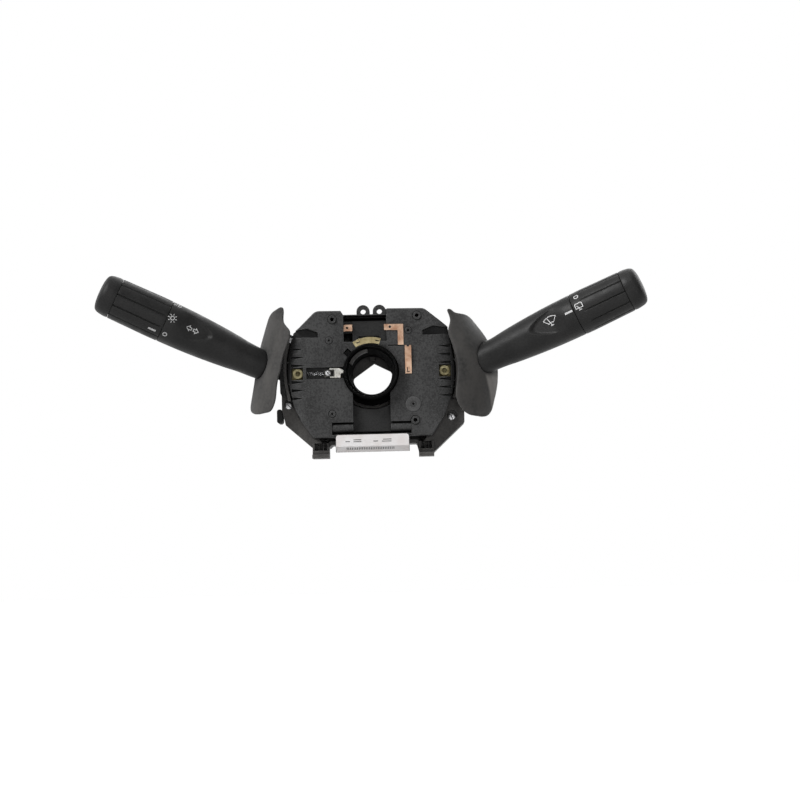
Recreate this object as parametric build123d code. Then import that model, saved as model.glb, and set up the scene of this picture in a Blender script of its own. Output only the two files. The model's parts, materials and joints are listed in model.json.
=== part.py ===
from build123d import *
from dataclasses import dataclass
from math import cos, radians, sin, tan
import os

# Combination stalk switch for a steering column, in millimetres.
# +Z is up, +X is the driver's right hand and the face looks along -Y.
# The origin is on the steering axis, at the rear end of the column collar.
# "Depth" is the distance in front of the origin, so a point at depth d has y = -d.

# ---------------------------------------------------------------- driving dimensions

FIT = 0.05  # running clearance on radius of a pin or a journal
GAP = 0.3  # air between parts that move past each other
WALL = 2.5  # usual thickness of a moulded wall

# Depths of the stacked parts
COLLAR_FRONT = 16.0
SEAT_FRONT = 19.0
TRAY_FRONT = 38.0
RIM_FRONT = 44.0
RIM_GAP, RIM_WALL = 1.2, 2.0
RIM_BOTTOM, RIM_TOP = -17.5, 27.0
PLATE_BACK = 42.0
FACE = 50.0
HUB_FRONT = 58.0

# Column collar and the passage for the steering shaft
COLUMN_RADIUS = 19.0
COLLAR_RADIUS = 23.5
PASSAGE_RADIUS = 13.4
CLAMP_SLIT = 3.0
CLAMP_SCREW_RADIUS = 2.5
LUG_CENTRE_Z = -29.0

# Hooks below the base
HOOKS = ((-40.7, -29.5), (30.6, 40.8))  # left and right face of each hook
HOOK_BACK, HOOK_FLOOR = 29.0, 32.0
HOOK_TOP, HOOK_STEP, HOOK_LIP, HOOK_FOOT = -46.2, -51.2, -53.9, -56.4
HOOK_CHEEK = 1.4

# Hub that turns with the steering wheel
HUB_RADIUS = 18.0
HUB_BORE = 15.1
HUB_TAIL = 16.5
HUB_FLANGE = 21.0
BEARING_RADIUS, BEARING_FRONT = 20.0, 31.0
BORE_RADIUS = 18.7  # hole in the front carrier around the hub
SUMP_RADIUS = 24.5  # wider cut below the hub
CAM_RADIUS = 16.8
CAM_LOBE = 17.8

# Front carrier
CHANNEL_HALF = 12.5
CHANNEL_DEPTH = 6.0
LEDGE_TOP = -33.2
POCKET = (-17.8, 10.9, 20.6, 38.4)  # left, right, bottom, top
POCKET_FLOOR = 44.0
PAWL_SLOT = (-43.2, -17.4, -3.8, 3.9)
PAWL_SCREW_X = -28.8
SIDE_SCREW_X = 49.0
EAR_RADIUS, EAR_HOLE_RADIUS = 4.4, 1.8
EAR_CENTRES = ((-4.5, 41.0), (6.4, 41.0))
BOSS_HOLE = 1.3
TALL_BOSS, LOW_BOSS = 2.7, 2.2  # radii
BOSS_GROOVE = 0.5  # width and depth of the groove around a boss
TALL_BOSSES = ((-25.3, 35.9), (31.4, 37.2), (28.8, -32.7))
HALO_BOSS = (27.7, -22.0)  # low boss that stands on a wider disc
HALO_RADIUS, HALO_RISE = 5.0, 0.25
LOW_BOSSES = ((-27.6, 21.8), (25.4, 27.4), (-26.4, -27.3), HALO_BOSS)
FIN_PITCH = 5.5
BASE_SCREWS = ((-56.2, -20.3), (53.1, -30.3))
SCREW_HEAD, SCREW_RECESS = 2.0, 3.4  # radii
RECESS_OFFSET = (0.4, 1.2)  # the recess sits a little above its screw
CLIPS = ((-53.36, 23.13, 12.5), (53.09, 25.09, -8.8))  # x, z and lean of the edge they sit on
LABEL_HALF = 24.2
LABEL_TOP, LABEL_FOLD, LABEL_BOTTOM = -41.7, -49.4, -53.0
LABEL_FACE = 51.6
LABEL_SETBACK = 2.6  # how far the folded strip leans back

# Lever pivots, measured on the left side
PIVOT_X = -42.0
PIVOT_DEPTH = 28.0
LEVER_LEAN = 13.0  # degrees towards the driver
TILT_ARM = 8.5  # from the swing pivot to the pull pivot
PIVOT_PIN = 2.0
TILT_PIN = 1.5
BLADE_HALF = 4.2  # half the width of the lever blade between the gimbal cheeks

# Stations along a lever, from the swing pivot
NECK_END = 35.0
ROOT_END = 41.0
BODY_END = 107.7
KNOB_END = 143.4
CAP_END = 154.8
KNOB_RADIUS = 14.3
FLUTES = 11
FLUTE_DEPTH, FLUTE_WIDTH = 0.6, 1.1
SHAFT_RADIUS = 3.0

# Thumb scoop in the front of the grip
SCOOP_TIP, SCOOP_END = 75.0, 104.0  # stations
SCOOP_HALF = 8.4
SCOOP_FLOOR = 11.0  # from the axis of the lever at the tip of the scoop
SCOOP_TURN = 11.0  # degrees above the front of the lever

# Switch module cases, on the left side
CASE_OUTER_X, CASE_INNER_X = -54.6, -23.7
CASE_BOTTOM, CASE_TOP = -18.4, 14.0
CASE_BACK, CASE_FRONT, COVER_FRONT = 19.2, 35.8, 37.6
CASE_WALL = 1.6
WINDOW_BACK = 22.3  # rear edge of the openings that the levers pass
TRACK_RADIUS = 14.8
CONNECTOR = (-43.0, -11.0, 22.0, 13.0)  # centre x, centre z, width, height
CONNECTOR_BACK = 5.0


@dataclass(frozen=True)
class Side:
    """What differs between the two levers; both are drawn on the left."""

    name: str
    mirrored: bool
    lever_angle: float  # rise of the lever above the horizontal, degrees
    pivot_height: float
    shield_outline: tuple  # seen from the front, clockwise from the top of the inner edge
    shield_inner: tuple  # x of the front edge, from the foot to the crown
    shield_outer: tuple  # x of the rear edge, from the foot to the crown
    shield_depths: tuple  # front edge, rear edge
    window: tuple  # lowest and highest z of the opening that the lever passes
    flute_phase: float  # first flute, degrees above the front of the lever
    flute_start: float  # station where the flutes begin


LEFT = Side(
    "left",
    False,
    25.3,
    -7.4,
    (
        (-58.1, 44.3), (-58.2, 39.8), (-58.0, 34.8), (-56.0, 31.9), (-53.9, 29.0), (-53.6, 26.0),
        (-55.1, 20.6), (-58.3, 12.5), (-60.3, 3.3), (-62.5, -4.8), (-63.6, -14.0), (-65.6, -21.6),
        (-67.8, -24.5), (-71.0, -25.2), (-79.9, -24.6), (-82.0, -22.8), (-82.2, -17.0),
        (-80.3, -8.0), (-79.0, 0.0), (-75.8, 20.0), (-73.2, 29.0), (-70.4, 37.0), (-68.4, 41.0),
        (-65.8, 43.2), (-62.0, 44.6), (-59.3, 45.1),
    ),
    (-67.5, -63.3, -58.5, -52.5, -55.5),
    (-86.0, -82.5, -79.5, -74.5, -68.0),
    (53.5, 18.0),
    (-13.0, 9.5),
    10.6,
    BODY_END,
)
RIGHT = Side(
    "right",
    True,
    23.1,
    -6.5,
    (
        (-52.1, 40.4), (-53.1, 37.6), (-54.0, 34.2), (-53.4, 30.6), (-52.4, 26.5), (-53.0, 22.0),
        (-55.4, 14.0), (-57.9, 7.0), (-58.4, 0.0), (-57.2, -9.0), (-56.5, -15.0), (-57.6, -21.6),
        (-61.3, -27.2), (-65.5, -29.8), (-69.5, -30.5), (-76.6, -30.0), (-79.2, -27.6),
        (-81.6, -21.4), (-84.0, -11.5), (-85.2, -2.0), (-84.4, 9.0), (-80.2, 19.5), (-74.6, 29.2),
        (-70.2, 35.0), (-66.6, 37.7), (-61.0, 38.6), (-55.8, 39.3), (-52.9, 40.9),
    ),
    (-60.0, -55.5, -57.5, -51.5, -50.5),
    (-82.5, -85.5, -85.5, -75.5, -60.0),
    (53.5, 21.0),
    (-15.0, 9.0),
    -3.2,
    BODY_END + 6.8,
)

# ---------------------------------------------------------------- helpers


def slab(sketch, back, front):
    """A front-view sketch, x to the right and z up, made solid between two depths."""
    return extrude(Plane.XZ.offset(back) * sketch, amount=front - back)


def rod(radius, back, front, x=0.0, z=0.0):
    """A round bar along the steering axis."""
    return slab(Pos(x, z) * Circle(radius), back, front)


def block(left, right, bottom, top, back, front):
    """A plain box given by its six faces."""
    centre = Pos((left + right) / 2, (bottom + top) / 2)
    return slab(centre * Rectangle(right - left, top - bottom), back, front)


def outline(points, radius):
    """A closed outline with its corners rounded, as a front-view face."""
    return make_face(FilletPolyline(*points, radius=radius, close=True))


def cross_bar(points, left, right):
    """A side-view outline of (depth, z) points, made solid between two x values."""
    side_view = Plane(origin=(left, 0, 0), x_dir=(0, -1, 0), z_dir=(-1, 0, 0))
    return extrude(side_view * make_face(Polyline(*points, close=True)), amount=left - right)


def turned(points, frame):
    """A (radius, station) profile turned about the local z axis of a frame."""
    profile = Plane.XZ * make_face(Polyline(*points, close=True))
    return frame * revolve(profile, axis=Axis.Z)


def both_sides(shape):
    """A shape and its mirror image across the steering axis."""
    return Compound(children=[*shape.solids(), *mirror(shape, about=Plane.YZ).solids()])


def swing_frame(side):
    """Origin on the swing pivot, z out along the lever in the face plane, x up across it."""
    angle = radians(side.lever_angle)
    return Plane(
        origin=(PIVOT_X, -PIVOT_DEPTH, side.pivot_height),
        x_dir=(sin(angle), 0, cos(angle)),
        z_dir=(-cos(angle), 0, sin(angle)),
    )


def lever_frame(side):
    """As swing_frame, but z leans towards the driver with the lever."""
    angle, lean = radians(side.lever_angle), radians(LEVER_LEAN)
    return Plane(
        origin=(PIVOT_X, -PIVOT_DEPTH, side.pivot_height),
        x_dir=(sin(angle), 0, cos(angle)),
        z_dir=(-cos(angle) * cos(lean), -sin(lean), sin(angle) * cos(lean)),
    )


def detent_frame(side):
    """Origin on the swing pivot, z straight out to the side; the detent lies along -z."""
    return Plane(
        origin=(PIVOT_X, -PIVOT_DEPTH, side.pivot_height), x_dir=(0, 0, 1), z_dir=(-1, 0, 0)
    )


# ---------------------------------------------------------------- outlines

CARRIER_OUTLINE = (
    (-36.4, 41.9), (-19.6, 41.7), (-17.8, 38.8), (11.2, 38.8), (11.4, 42.6), (36.2, 42.2),
    (51.8, 29.5), (54.9, 9.5), (55.9, -0.3), (54.4, -13.6), (48.4, -29.6), (39.6, -43.0),
    (-39.2, -43.0), (-46.2, -33.4), (-52.2, -21.7), (-55.1, -6.3), (-55.9, 2.6), (-55.3, 11.6),
    (-51.7, 27.8), (-47.5, 31.0),
)
SHOULDER_RADIUS, FLANK_RADIUS = 6.0, 38.0
BASE_OUTLINE = (
    (-35.8, 40.4), (-47.0, 29.9), (-54.8, 26.2), (-58.6, 11.8), (-59.0, 2.5), (-58.5, -6.8),
    (-60.9, -11.0), (-60.9, -23.0), (-58.5, -33.5), (-41.0, -49.0), (-29.3, -49.0),
    (-27.8, -47.4), (29.3, -47.4), (30.8, -53.4), (41.0, -53.4), (61.7, -34.2), (61.9, -18.0),
    (57.9, -12.0), (59.0, -0.5), (58.0, 10.0), (54.9, 26.5), (51.0, 28.6), (36.9, 40.4),
)


def carrier_plan():
    """Front-view shape of the front carrier, with rounded shoulders and curved flanks."""
    plan = make_face(Polyline(*CARRIER_OUTLINE, close=True))
    rounds = {
        SHOULDER_RADIUS: lambda x, z: z > 41 and abs(x) > 30,
        FLANK_RADIUS: lambda x, z: abs(z) < 40 and abs(x) > 45 and z < 20,
    }
    for radius, belongs in rounds.items():
        corners = [vertex for vertex in plan.vertices() if belongs(vertex.X, vertex.Y)]
        plan = fillet(corners, radius)
    return plan


# ---------------------------------------------------------------- base housing


def column_collar():
    """Split ring that clamps on the column jacket, with its two lugs."""
    ring = rod(COLLAR_RADIUS, 0, COLLAR_FRONT) - rod(COLUMN_RADIUS, 0, COLLAR_FRONT)
    lug_outline = outline(((-9, -19), (9, -19), (9, -35), (-9, -35)), 3)
    lugs = slab(lug_outline, 2, COLLAR_FRONT) - rod(COLLAR_RADIUS - 0.5, 0, COLLAR_FRONT)
    slit = block(-CLAMP_SLIT / 2, CLAMP_SLIT / 2, -36, -15, 0, COLLAR_FRONT)
    bore = Pos(0, -8, LUG_CENTRE_Z) * Rot(0, 90, 0) * Cylinder(CLAMP_SCREW_RADIUS + 0.1, 30)
    return ring + lugs - slit - bore


def shaft_passage():
    """Front-view shape of the hole for the shaft: round, with a roof-shaped top."""
    roof_peak, roof_left, roof_right = (1.4, 8.6), tan(radians(35)), tan(radians(27))
    reach = PASSAGE_RADIUS + 3
    roof = Polyline(
        (-reach, -reach),
        (reach, -reach),
        (reach, roof_peak[1] - (reach - roof_peak[0]) * roof_right),
        roof_peak,
        (-reach, roof_peak[1] - (reach + roof_peak[0]) * roof_left),
        close=True,
    )
    passage = Circle(PASSAGE_RADIUS) & make_face(roof)
    shoulders = [vertex for vertex in passage.vertices() if abs(vertex.X) > PASSAGE_RADIUS / 2]
    return fillet(shoulders, 3)


def hook(left, right):
    """Hook below the base that the column shroud hangs on, with a ribbed back."""
    back_plate = block(left, right, HOOK_FOOT, HOOK_TOP, HOOK_BACK, HOOK_FLOOR)
    step = block(left, right, HOOK_LIP, HOOK_STEP, HOOK_BACK, TRAY_FRONT + 2)
    lip = block(left, right, HOOK_FOOT, HOOK_LIP, HOOK_BACK, 44.5)
    cheeks = [
        block(x, x + HOOK_CHEEK, HOOK_FOOT, HOOK_TOP, HOOK_BACK, TRAY_FRONT + 1)
        for x in (left, right - HOOK_CHEEK)
    ]
    middle = (left + right) / 2
    ribs = [
        block(x - 0.3, x + 0.3, HOOK_STEP, HOOK_TOP, HOOK_FLOOR, HOOK_FLOOR + 2.5)
        for x in (middle - 1.5, middle + 1.5)
    ]
    return back_plate + [step, lip, *cheeks, *ribs]


def hook_mouth(left, right):
    """Opening above the lip of a hook."""
    return block(left + HOOK_CHEEK, right - HOOK_CHEEK, HOOK_STEP, HOOK_TOP, HOOK_FLOOR, FACE)


def rear_ribs():
    """Stiffening ribs from the collar to the edge of the seat plate."""
    ribs = []
    for angle, reach in ((0, 55), (35, 48), (90, 39), (145, 48), (180, 55), (215, 50), (325, 50)):
        start = COLLAR_RADIUS - 1
        rib = Pos((reach + start) / 2, 0) * Rectangle(reach - start, 2)
        ribs.append(slab(Rot(0, 0, angle) * rib, 11, COLLAR_FRONT))
    return ribs


def connector_window():
    """Cut through the seat plate for the left connector."""
    x, z, width, height = CONNECTOR
    return block(
        x - width / 2 - GAP, x + width / 2 + GAP, z - height / 2 - GAP, z + height / 2 + GAP,
        10, SEAT_FRONT,
    )


def lower_flanges(outer):
    """The two flanges at the lower corners, which take the slotted screws."""
    left = ((-70, -11), (-52, -11), (-50, -28), (-37, -42), (-25, -60), (-70, -60))
    right = ((70, -14), (52, -14), (46, -30), (37, -42), (25, -60), (70, -60))
    corners = slab(outline(left, 1), 0, FACE) + slab(outline(right, 1), 0, FACE)
    flanges = slab(outer, TRAY_FRONT - 3, TRAY_FRONT) & corners
    return flanges - block(-54.9, 54.9, CASE_BOTTOM - GAP, CASE_TOP, 30, FACE)


def base_housing():
    """Rear moulding: column collar, seat plate, side walls, lower flanges and hooks."""
    outer = outline(BASE_OUTLINE, 1.2)
    inner = offset(outer, amount=-WALL)
    seat = slab(outer, COLLAR_FRONT, SEAT_FRONT) - slab(shaft_passage(), COLLAR_FRONT, SEAT_FRONT)
    walls = slab(outer, SEAT_FRONT, TRAY_FRONT) - slab(inner, SEAT_FRONT, TRAY_FRONT)
    carrier = carrier_plan()
    rim_plan = offset(carrier, amount=RIM_GAP + RIM_WALL) - offset(carrier, amount=RIM_GAP)
    rim = slab(rim_plan, TRAY_FRONT, RIM_FRONT)
    rim &= block(-70, 70, RIM_BOTTOM, RIM_TOP, TRAY_FRONT, RIM_FRONT)
    boss_plan = Circle(BEARING_RADIUS + 3) - Circle(BEARING_RADIUS)
    bearing_boss = slab(boss_plan, SEAT_FRONT, BEARING_FRONT - 1)
    base = column_collar() + rear_ribs() + seat + walls + rim + lower_flanges(outer) + bearing_boss
    base = base - [hook_mouth(*faces) for faces in HOOKS] + [hook(*faces) for faces in HOOKS]
    base += block(-1.2, 2.2, 10.4, 12.8, SEAT_FRONT - 0.5, 24)
    for side in (LEFT, RIGHT):
        low, high = side.window
        window = block(-64, -52, low, high, WINDOW_BACK, TRAY_FRONT + 1.5)
        base -= mirror(window, about=Plane.YZ) if side.mirrored else window
    base = base - connector_window() - mirror(connector_window(), about=Plane.YZ)
    aside, above = RECESS_OFFSET
    base -= [rod(SCREW_RECESS, TRAY_FRONT - 1.2, TRAY_FRONT, x + aside, z + above) for x, z in BASE_SCREWS]
    base -= [rod(1.6, TRAY_FRONT - 3, TRAY_FRONT, x, z) for x, z in BASE_SCREWS]
    return base - rod(COLUMN_RADIUS, 0, COLLAR_FRONT)


def side_buffer():
    """Rubber pad on the lower left wall of the base."""
    pad = outline(((-64.6, -31.8), (-60.9, -31.8), (-60.9, -22.4), (-64.6, -22.4)), 1.6)
    return slab(pad, 22, 35)


def clamp_screw():
    """Socket screw that closes the collar."""
    shank = Pos(1, -8, LUG_CENTRE_Z) * Rot(0, 90, 0) * Cylinder(CLAMP_SCREW_RADIUS, 24)
    head = Pos(11.5, -8, LUG_CENTRE_Z) * Rot(0, 90, 0) * Cylinder(4.2, 5)
    socket = Pos(13, -8, LUG_CENTRE_Z) * Rot(0, 90, 0) * extrude(RegularPolygon(2.4, 6), 1.5, both=True)
    return shank + head - socket


def clamp_nut():
    """Hexagon nut on the far lug."""
    body = Pos(-9, -8, LUG_CENTRE_Z) * Rot(0, -90, 0) * extrude(RegularPolygon(4.6, 6), 4)
    return body - Pos(-11, -8, LUG_CENTRE_Z) * Rot(0, 90, 0) * Cylinder(CLAMP_SCREW_RADIUS, 12)


def base_screws():
    """Slotted screws in the lower flanges."""
    screws = []
    for x, z in BASE_SCREWS:
        screw = rod(SCREW_HEAD, TRAY_FRONT - 1.2, TRAY_FRONT + 0.9, x, z) + rod(1.5, 27, TRAY_FRONT - 1, x, z)
        slot = Pos(x, z) * Rot(0, 0, 40) * Rectangle(5, 0.8)
        screws.append(screw - slab(slot, TRAY_FRONT + 0.1, TRAY_FRONT + 1))
    return Compound(children=screws)


def retaining_clips():
    """Spring steel clips between the front carrier and the rim of the base."""
    clips = []
    for x, z, lean in CLIPS:
        outward = 1 if x > 0 else -1
        tab = Rectangle(0.7, 3.6)
        fold = Pos(outward * 0.9, 0) * Rectangle(2.5, 3.6)
        place = Pos(x, z) * Rot(0, 0, -lean)
        clips.append(
            slab(place * tab, TRAY_FRONT + 1, RIM_FRONT) + slab(place * fold, RIM_FRONT, RIM_FRONT + 0.7)
        )
    return Compound(children=[clip.solid() for clip in clips])


# ---------------------------------------------------------------- front carrier


def carrier_pockets():
    """Everything cut into the face, as one list of tools."""
    left, right, bottom, top = POCKET
    slot_left, slot_right, slot_bottom, slot_top = PAWL_SLOT
    ledge_left, ledge_right, ledge_foot = -26.8, 26.2, -41.4
    tools = [
        rod(BORE_RADIUS, 30, FACE),
        slab(Circle(SUMP_RADIUS) & Pos(0, -20) * Rectangle(2 * CHANNEL_HALF, 24), 30, FACE),
        block(-CHANNEL_HALF, CHANNEL_HALF, -41, -12, FACE - CHANNEL_DEPTH, FACE),
        block(left, right, bottom, top, POCKET_FLOOR, FACE),
        block(left, right, top - 3.3, top, 30, FACE),  # open above the pocket plate
        block(left, left + 5.6, bottom, 27, 30, FACE),  # open below the horn terminal
        block(slot_left, slot_right, slot_bottom, slot_top, 45.5, FACE),
        block(11.8, 23.1, 17.2, 18.0, FACE - 2, FACE),  # groove at the foot of the horn track
        block(ledge_left, -CHANNEL_HALF + 0.1, ledge_foot, LEDGE_TOP, 46, FACE),
        block(CHANNEL_HALF - 0.1, ledge_right, ledge_foot, LEDGE_TOP, 46, FACE),
        slab(Rot(0, 0, 139) * Pos(BORE_RADIUS + 1.6, 0) * Rectangle(4.2, 4.6), 44, FACE),
        block(ledge_left, ledge_right, ledge_foot, ledge_foot + 2, 38, FACE),  # slot above the label
    ]
    tools += [rod(BOSS_HOLE, PLATE_BACK, FACE + 2, x, z) for x, z in TALL_BOSSES]
    tools += [rod(0.8, FACE - 3, FACE + 2, x, z) for x, z in LOW_BOSSES]
    return tools


def boss_grooves():
    """Shallow rings cut around the bosses."""
    rings = []
    for radius, centres in ((TALL_BOSS, TALL_BOSSES), (LOW_BOSS, LOW_BOSSES)):
        for x, z in centres:
            outer = rod(radius + BOSS_GROOVE, FACE - BOSS_GROOVE, FACE + 1, x, z)
            rings.append(outer - rod(radius, FACE - BOSS_GROOVE, FACE + 1, x, z))
    return rings


def side_slopes():
    """The face curves back towards both side edges."""
    start, end, fall = 39.0, 57.0, 5.0
    crown_radius = ((end - start) ** 2 + fall**2) / (2 * fall)
    crown = RadiusArc((-start, -FACE), (-end, fall - FACE), crown_radius)
    edges = [crown, Polyline(crown @ 1, (-end, -FACE - 1), (-start, -FACE - 1), crown @ 0)]
    top_view = Plane(origin=(0, 0, 40), x_dir=(1, 0, 0), z_dir=(0, 0, 1))
    return both_sides(extrude(top_view * make_face(edges), amount=-84))


def side_cuts():
    """Tapered cuts between the ribs beside each side screw, its recess and the notch above."""
    cuts = []
    for row in (-3, -2, -1, 1, 2, 3):
        z = row * FIN_PITCH
        tip = -43.5 if abs(row) < 3 else -45.0
        cuts.append(make_face(Polyline((tip, z), (-53.4, z + 1.1), (-53.4, z - 1.1), close=True)))
    notch = Polyline(
        (-34.9, 27.4), (-34.9, 24.0), (-54, 24.4), (-54, 28.3), (-49.0, 29.3), (-42.0, 30.3), close=True
    )
    tools = [slab(cut, 43.5, FACE + 1) for cut in cuts] + [slab(make_face(notch), 44.5, FACE + 1)]
    tools.append(block(-53.4, -45.4, -4.1, 4.1, 44.2, FACE + 1))
    return both_sides(Compound(children=[tool.solid() for tool in tools]))


def ears():
    """Two perforated lugs on the top edge, the right one with a web beside it."""
    tabs = [
        slab(Pos(x, z) * Circle(EAR_RADIUS) + Pos(x, z - 3) * Rectangle(2 * EAR_RADIUS, 6), 43.5, 47.5)
        for x, z in EAR_CENTRES
    ]
    right = EAR_CENTRES[1][0]
    return tabs + [block(right, right + 7.6, 38, 42.4, 43.5, 47.5)]


def ledges():
    """Round bars that lie in the recesses on both sides of the channel."""
    axis_z, radius = LEDGE_TOP - 3.6, 3.4
    left = Pos(-19.6, -46.2, axis_z) * Rot(0, 90, 0) * Cylinder(radius, 14.0)
    right = Pos(19.3, -46.2, axis_z) * Rot(0, 90, 0) * Cylinder(radius, 13.6)
    return [left, right]


def front_carrier():
    """Front moulding that carries the contacts, the hub bore and the label tongue."""
    plan = carrier_plan()
    body = slab(plan, TRAY_FRONT, FACE)
    body = chamfer(body.faces().sort_by(Axis.Y)[0].edges(), 0.7)
    body -= slab(offset(plan, amount=-WALL), TRAY_FRONT, PLATE_BACK)
    tongue = cross_bar(
        (
            (46, -41.4), (LABEL_FACE, -41.4), (LABEL_FACE, LABEL_FOLD),
            (LABEL_FACE - LABEL_SETBACK, LABEL_BOTTOM), (46, LABEL_BOTTOM),
        ),
        -LABEL_HALF - 0.3, LABEL_HALF + 0.3,
    )
    retainer = rod(BORE_RADIUS + WALL, 36, PLATE_BACK)
    body = body + retainer + ears() + rod(HALO_RADIUS, PLATE_BACK, FACE + HALO_RISE, *HALO_BOSS)
    body += [rod(TALL_BOSS, PLATE_BACK, FACE + 0.8, x, z) for x, z in TALL_BOSSES]
    body += [rod(LOW_BOSS, PLATE_BACK, FACE + 0.4, x, z) for x, z in LOW_BOSSES]
    body -= boss_grooves()
    body -= carrier_pockets()
    body = body - side_slopes() - side_cuts()
    body -= [rod(EAR_HOLE_RADIUS, 40, FACE, x, z) for x, z in EAR_CENTRES]
    body -= rod(1.2, PLATE_BACK, 46, PAWL_SCREW_X, 0)
    body -= both_sides(rod(1.9, 36, FACE, -SIDE_SCREW_X, 0.2))
    return body + tongue + ledges()


def side_screws():
    """Brass socket screws beside the hub, each on its square washer."""
    screw = rod(3.3, 44.2, 47.0, -SIDE_SCREW_X, 0.2) + rod(1.8, 39, 44.2, -SIDE_SCREW_X, 0.2)
    washer = block(-53.2, -45.6, -3.9, 3.9, 44.2, 44.8)
    return both_sides(screw + washer - rod(1.7, 45.4, 47.0, -SIDE_SCREW_X, 0.2))


def label():
    """Plain sheet wrapped over the front and the lower edge of the tongue."""
    thickness, corner = 0.3, 1.8
    sheet = cross_bar(
        (
            (LABEL_FACE, LABEL_TOP),
            (LABEL_FACE + thickness, LABEL_TOP),
            (LABEL_FACE + thickness, LABEL_FOLD),
            (LABEL_FACE - LABEL_SETBACK + thickness, LABEL_BOTTOM),
            (LABEL_FACE - LABEL_SETBACK, LABEL_BOTTOM),
            (LABEL_FACE, LABEL_FOLD),
        ),
        -LABEL_HALF, LABEL_HALF,
    )
    return fillet(sheet.edges().filter_by(Axis.Y).group_by(Axis.Z)[-1], corner)


def pocket_plate():
    """Insulating plate on the floor of the upper pocket."""
    left, right, bottom, top = POCKET
    plate = block(left + 5.8, right - 0.2, bottom + 0.2, top - 3.5, POCKET_FLOOR, 45.6)
    return plate - block(-8, 6, bottom, bottom + 4, 44.5, 46)


def horn_terminal():
    """Square copper terminal at the left of the pocket."""
    left, top = POCKET[0], 32.3
    tab = block(left, left + 5.8, top - 4.3, top, 47.4, 48.2) - rod(0.8, 47, 49, left + 2.3, top - 2.1)
    return tab + block(left + 5.0, left + 5.8, top - 4.3, top, 45.7, 47.4)


def horn_track():
    """Angled copper conductor between the pocket and the contact leaf."""
    path = Polyline(
        (9.4, 31.9), (22.2, 31.7), (22.2, 17.8), (18.4, 17.8), (18.4, 27.7), (9.4, 27.9), close=True
    )
    return slab(make_face(path), FACE, FACE + 0.5) - rod(0.9, FACE, FACE + 1, 13.3, 30.0)


def horn_leaf():
    """Springy copper leaf with a raised middle, a notched tip and a slit foot."""
    left, right = 22.9, 27.2
    leaf = cross_bar(
        (
            (FACE, 17.4), (FACE + 0.6, 17.4), (FACE + 1.9, 15.6), (FACE + 1.9, 8.0),
            (FACE + 0.6, 2.0), (FACE + 0.6, -1.6), (FACE, -1.6), (FACE, 2.1),
            (FACE + 1.3, 8.0), (FACE + 1.3, 15.4), (FACE, 16.6),
        ),
        left, right,
    )
    notch = rod(0.9, FACE, FACE + 3, 25.05, 17.2)
    slit = block(24.1, 24.6, -0.7, 2.6, FACE, FACE + 3) + block(24.1, 26.0, -0.7, -0.2, FACE, FACE + 3)
    return leaf - notch - slit


# ---------------------------------------------------------------- hub


def hub_bearing_ring():
    """Plain bearing for the tail of the hub."""
    ring = rod(BEARING_RADIUS, SEAT_FRONT + 0.5, BEARING_FRONT)
    return ring - rod(HUB_TAIL + FIT, SEAT_FRONT, BEARING_FRONT)


def hub_rotor():
    """Turning hub with its lip, retaining flange, cam seat, key slots and drive tab."""
    profile = (
        (HUB_TAIL, 20), (HUB_TAIL, 31.3), (HUB_RADIUS, 31.3), (HUB_RADIUS, 32.5),
        (HUB_FLANGE, 32.5), (HUB_FLANGE, 35), (HUB_RADIUS, 35), (HUB_RADIUS, 45.5),
        (16.0, 45.5), (16.0, 49.5), (HUB_RADIUS, 49.5), (HUB_RADIUS, 57.2),
        (HUB_RADIUS - 0.8, HUB_FRONT), (16.4, HUB_FRONT), (HUB_BORE, 55.6), (HUB_BORE, 36),
        (PASSAGE_RADIUS + 0.2, 33), (PASSAGE_RADIUS + 0.2, 20),
    )
    axis_frame = Plane(origin=(0, 0, 0), x_dir=(1, 0, 0), z_dir=(0, -1, 0))
    rotor = turned(profile, axis_frame)
    key_slot = block(-1.6, 1.6, HUB_BORE - 1, HUB_BORE + 1.2, 36.5, 44.5)
    rotor = rotor - key_slot - mirror(key_slot, about=Plane.XY)
    drive_tab = slab(Rot(0, 0, 142) * Pos(HUB_BORE - 0.6, 0) * Rectangle(2.2, 5), 36, 50)
    return rotor + drive_tab


def cancel_cam():
    """Split-ring cam with the two lobes that throw the indicator lever back."""
    ring = Circle(CAM_RADIUS) - Circle(16.0)
    lobe = (Circle(CAM_LOBE) - Circle(16.0)) & Rectangle(9, 40)
    return slab(ring + lobe, 45.6, 49.4)


def cancel_pawl():
    """Pointed slider between the indicator mechanism and the cam."""
    slide = block(-31.2, -24.4, -2.6, 2.6, 46, 47.3) - block(-30.1, -25.4, -1.5, 1.5, 46, 48)
    nose = outline(
        ((-24.5, 3.3), (-21.5, 3.3), (-18.4, 1.9), (-18.4, 0.2), (-20.4, -0.6), (-20.4, -3.2), (-24.5, -3.2)),
        0.3,
    )
    return slide + slab(nose, 46, 49.4)


def pawl_screw():
    """Slotted shoulder screw that guides the pawl."""
    screw = rod(1.9, 47.6, 49.2, PAWL_SCREW_X, 0) + rod(1.2, 43, 47.6, PAWL_SCREW_X, 0)
    return screw - slab(Pos(PAWL_SCREW_X, 0) * Rot(0, 0, 40) * Rectangle(5, 0.6), 48.6, 49.3)


def pawl_spring():
    """Compression spring behind the pawl, drawn as its closed turns."""
    turns, wire, coil_radius = 8, 0.4, 1.3
    start, end, axis_depth = -42.6, -31.2, 47.4
    rings = []
    for index in range(turns):
        x = start + wire + (end - start - 2 * wire) * index / (turns - 1)
        rings.append(Pos(x, -axis_depth, 0) * Rot(0, 90, 0) * Torus(coil_radius, wire))
    middle = Pos((start + end) / 2, coil_radius - axis_depth, 0)
    spine = middle * Rot(0, 90, 0) * Cylinder(0.25, end - start - 1)
    return rings[0].fuse(*rings[1:], spine)


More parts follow.
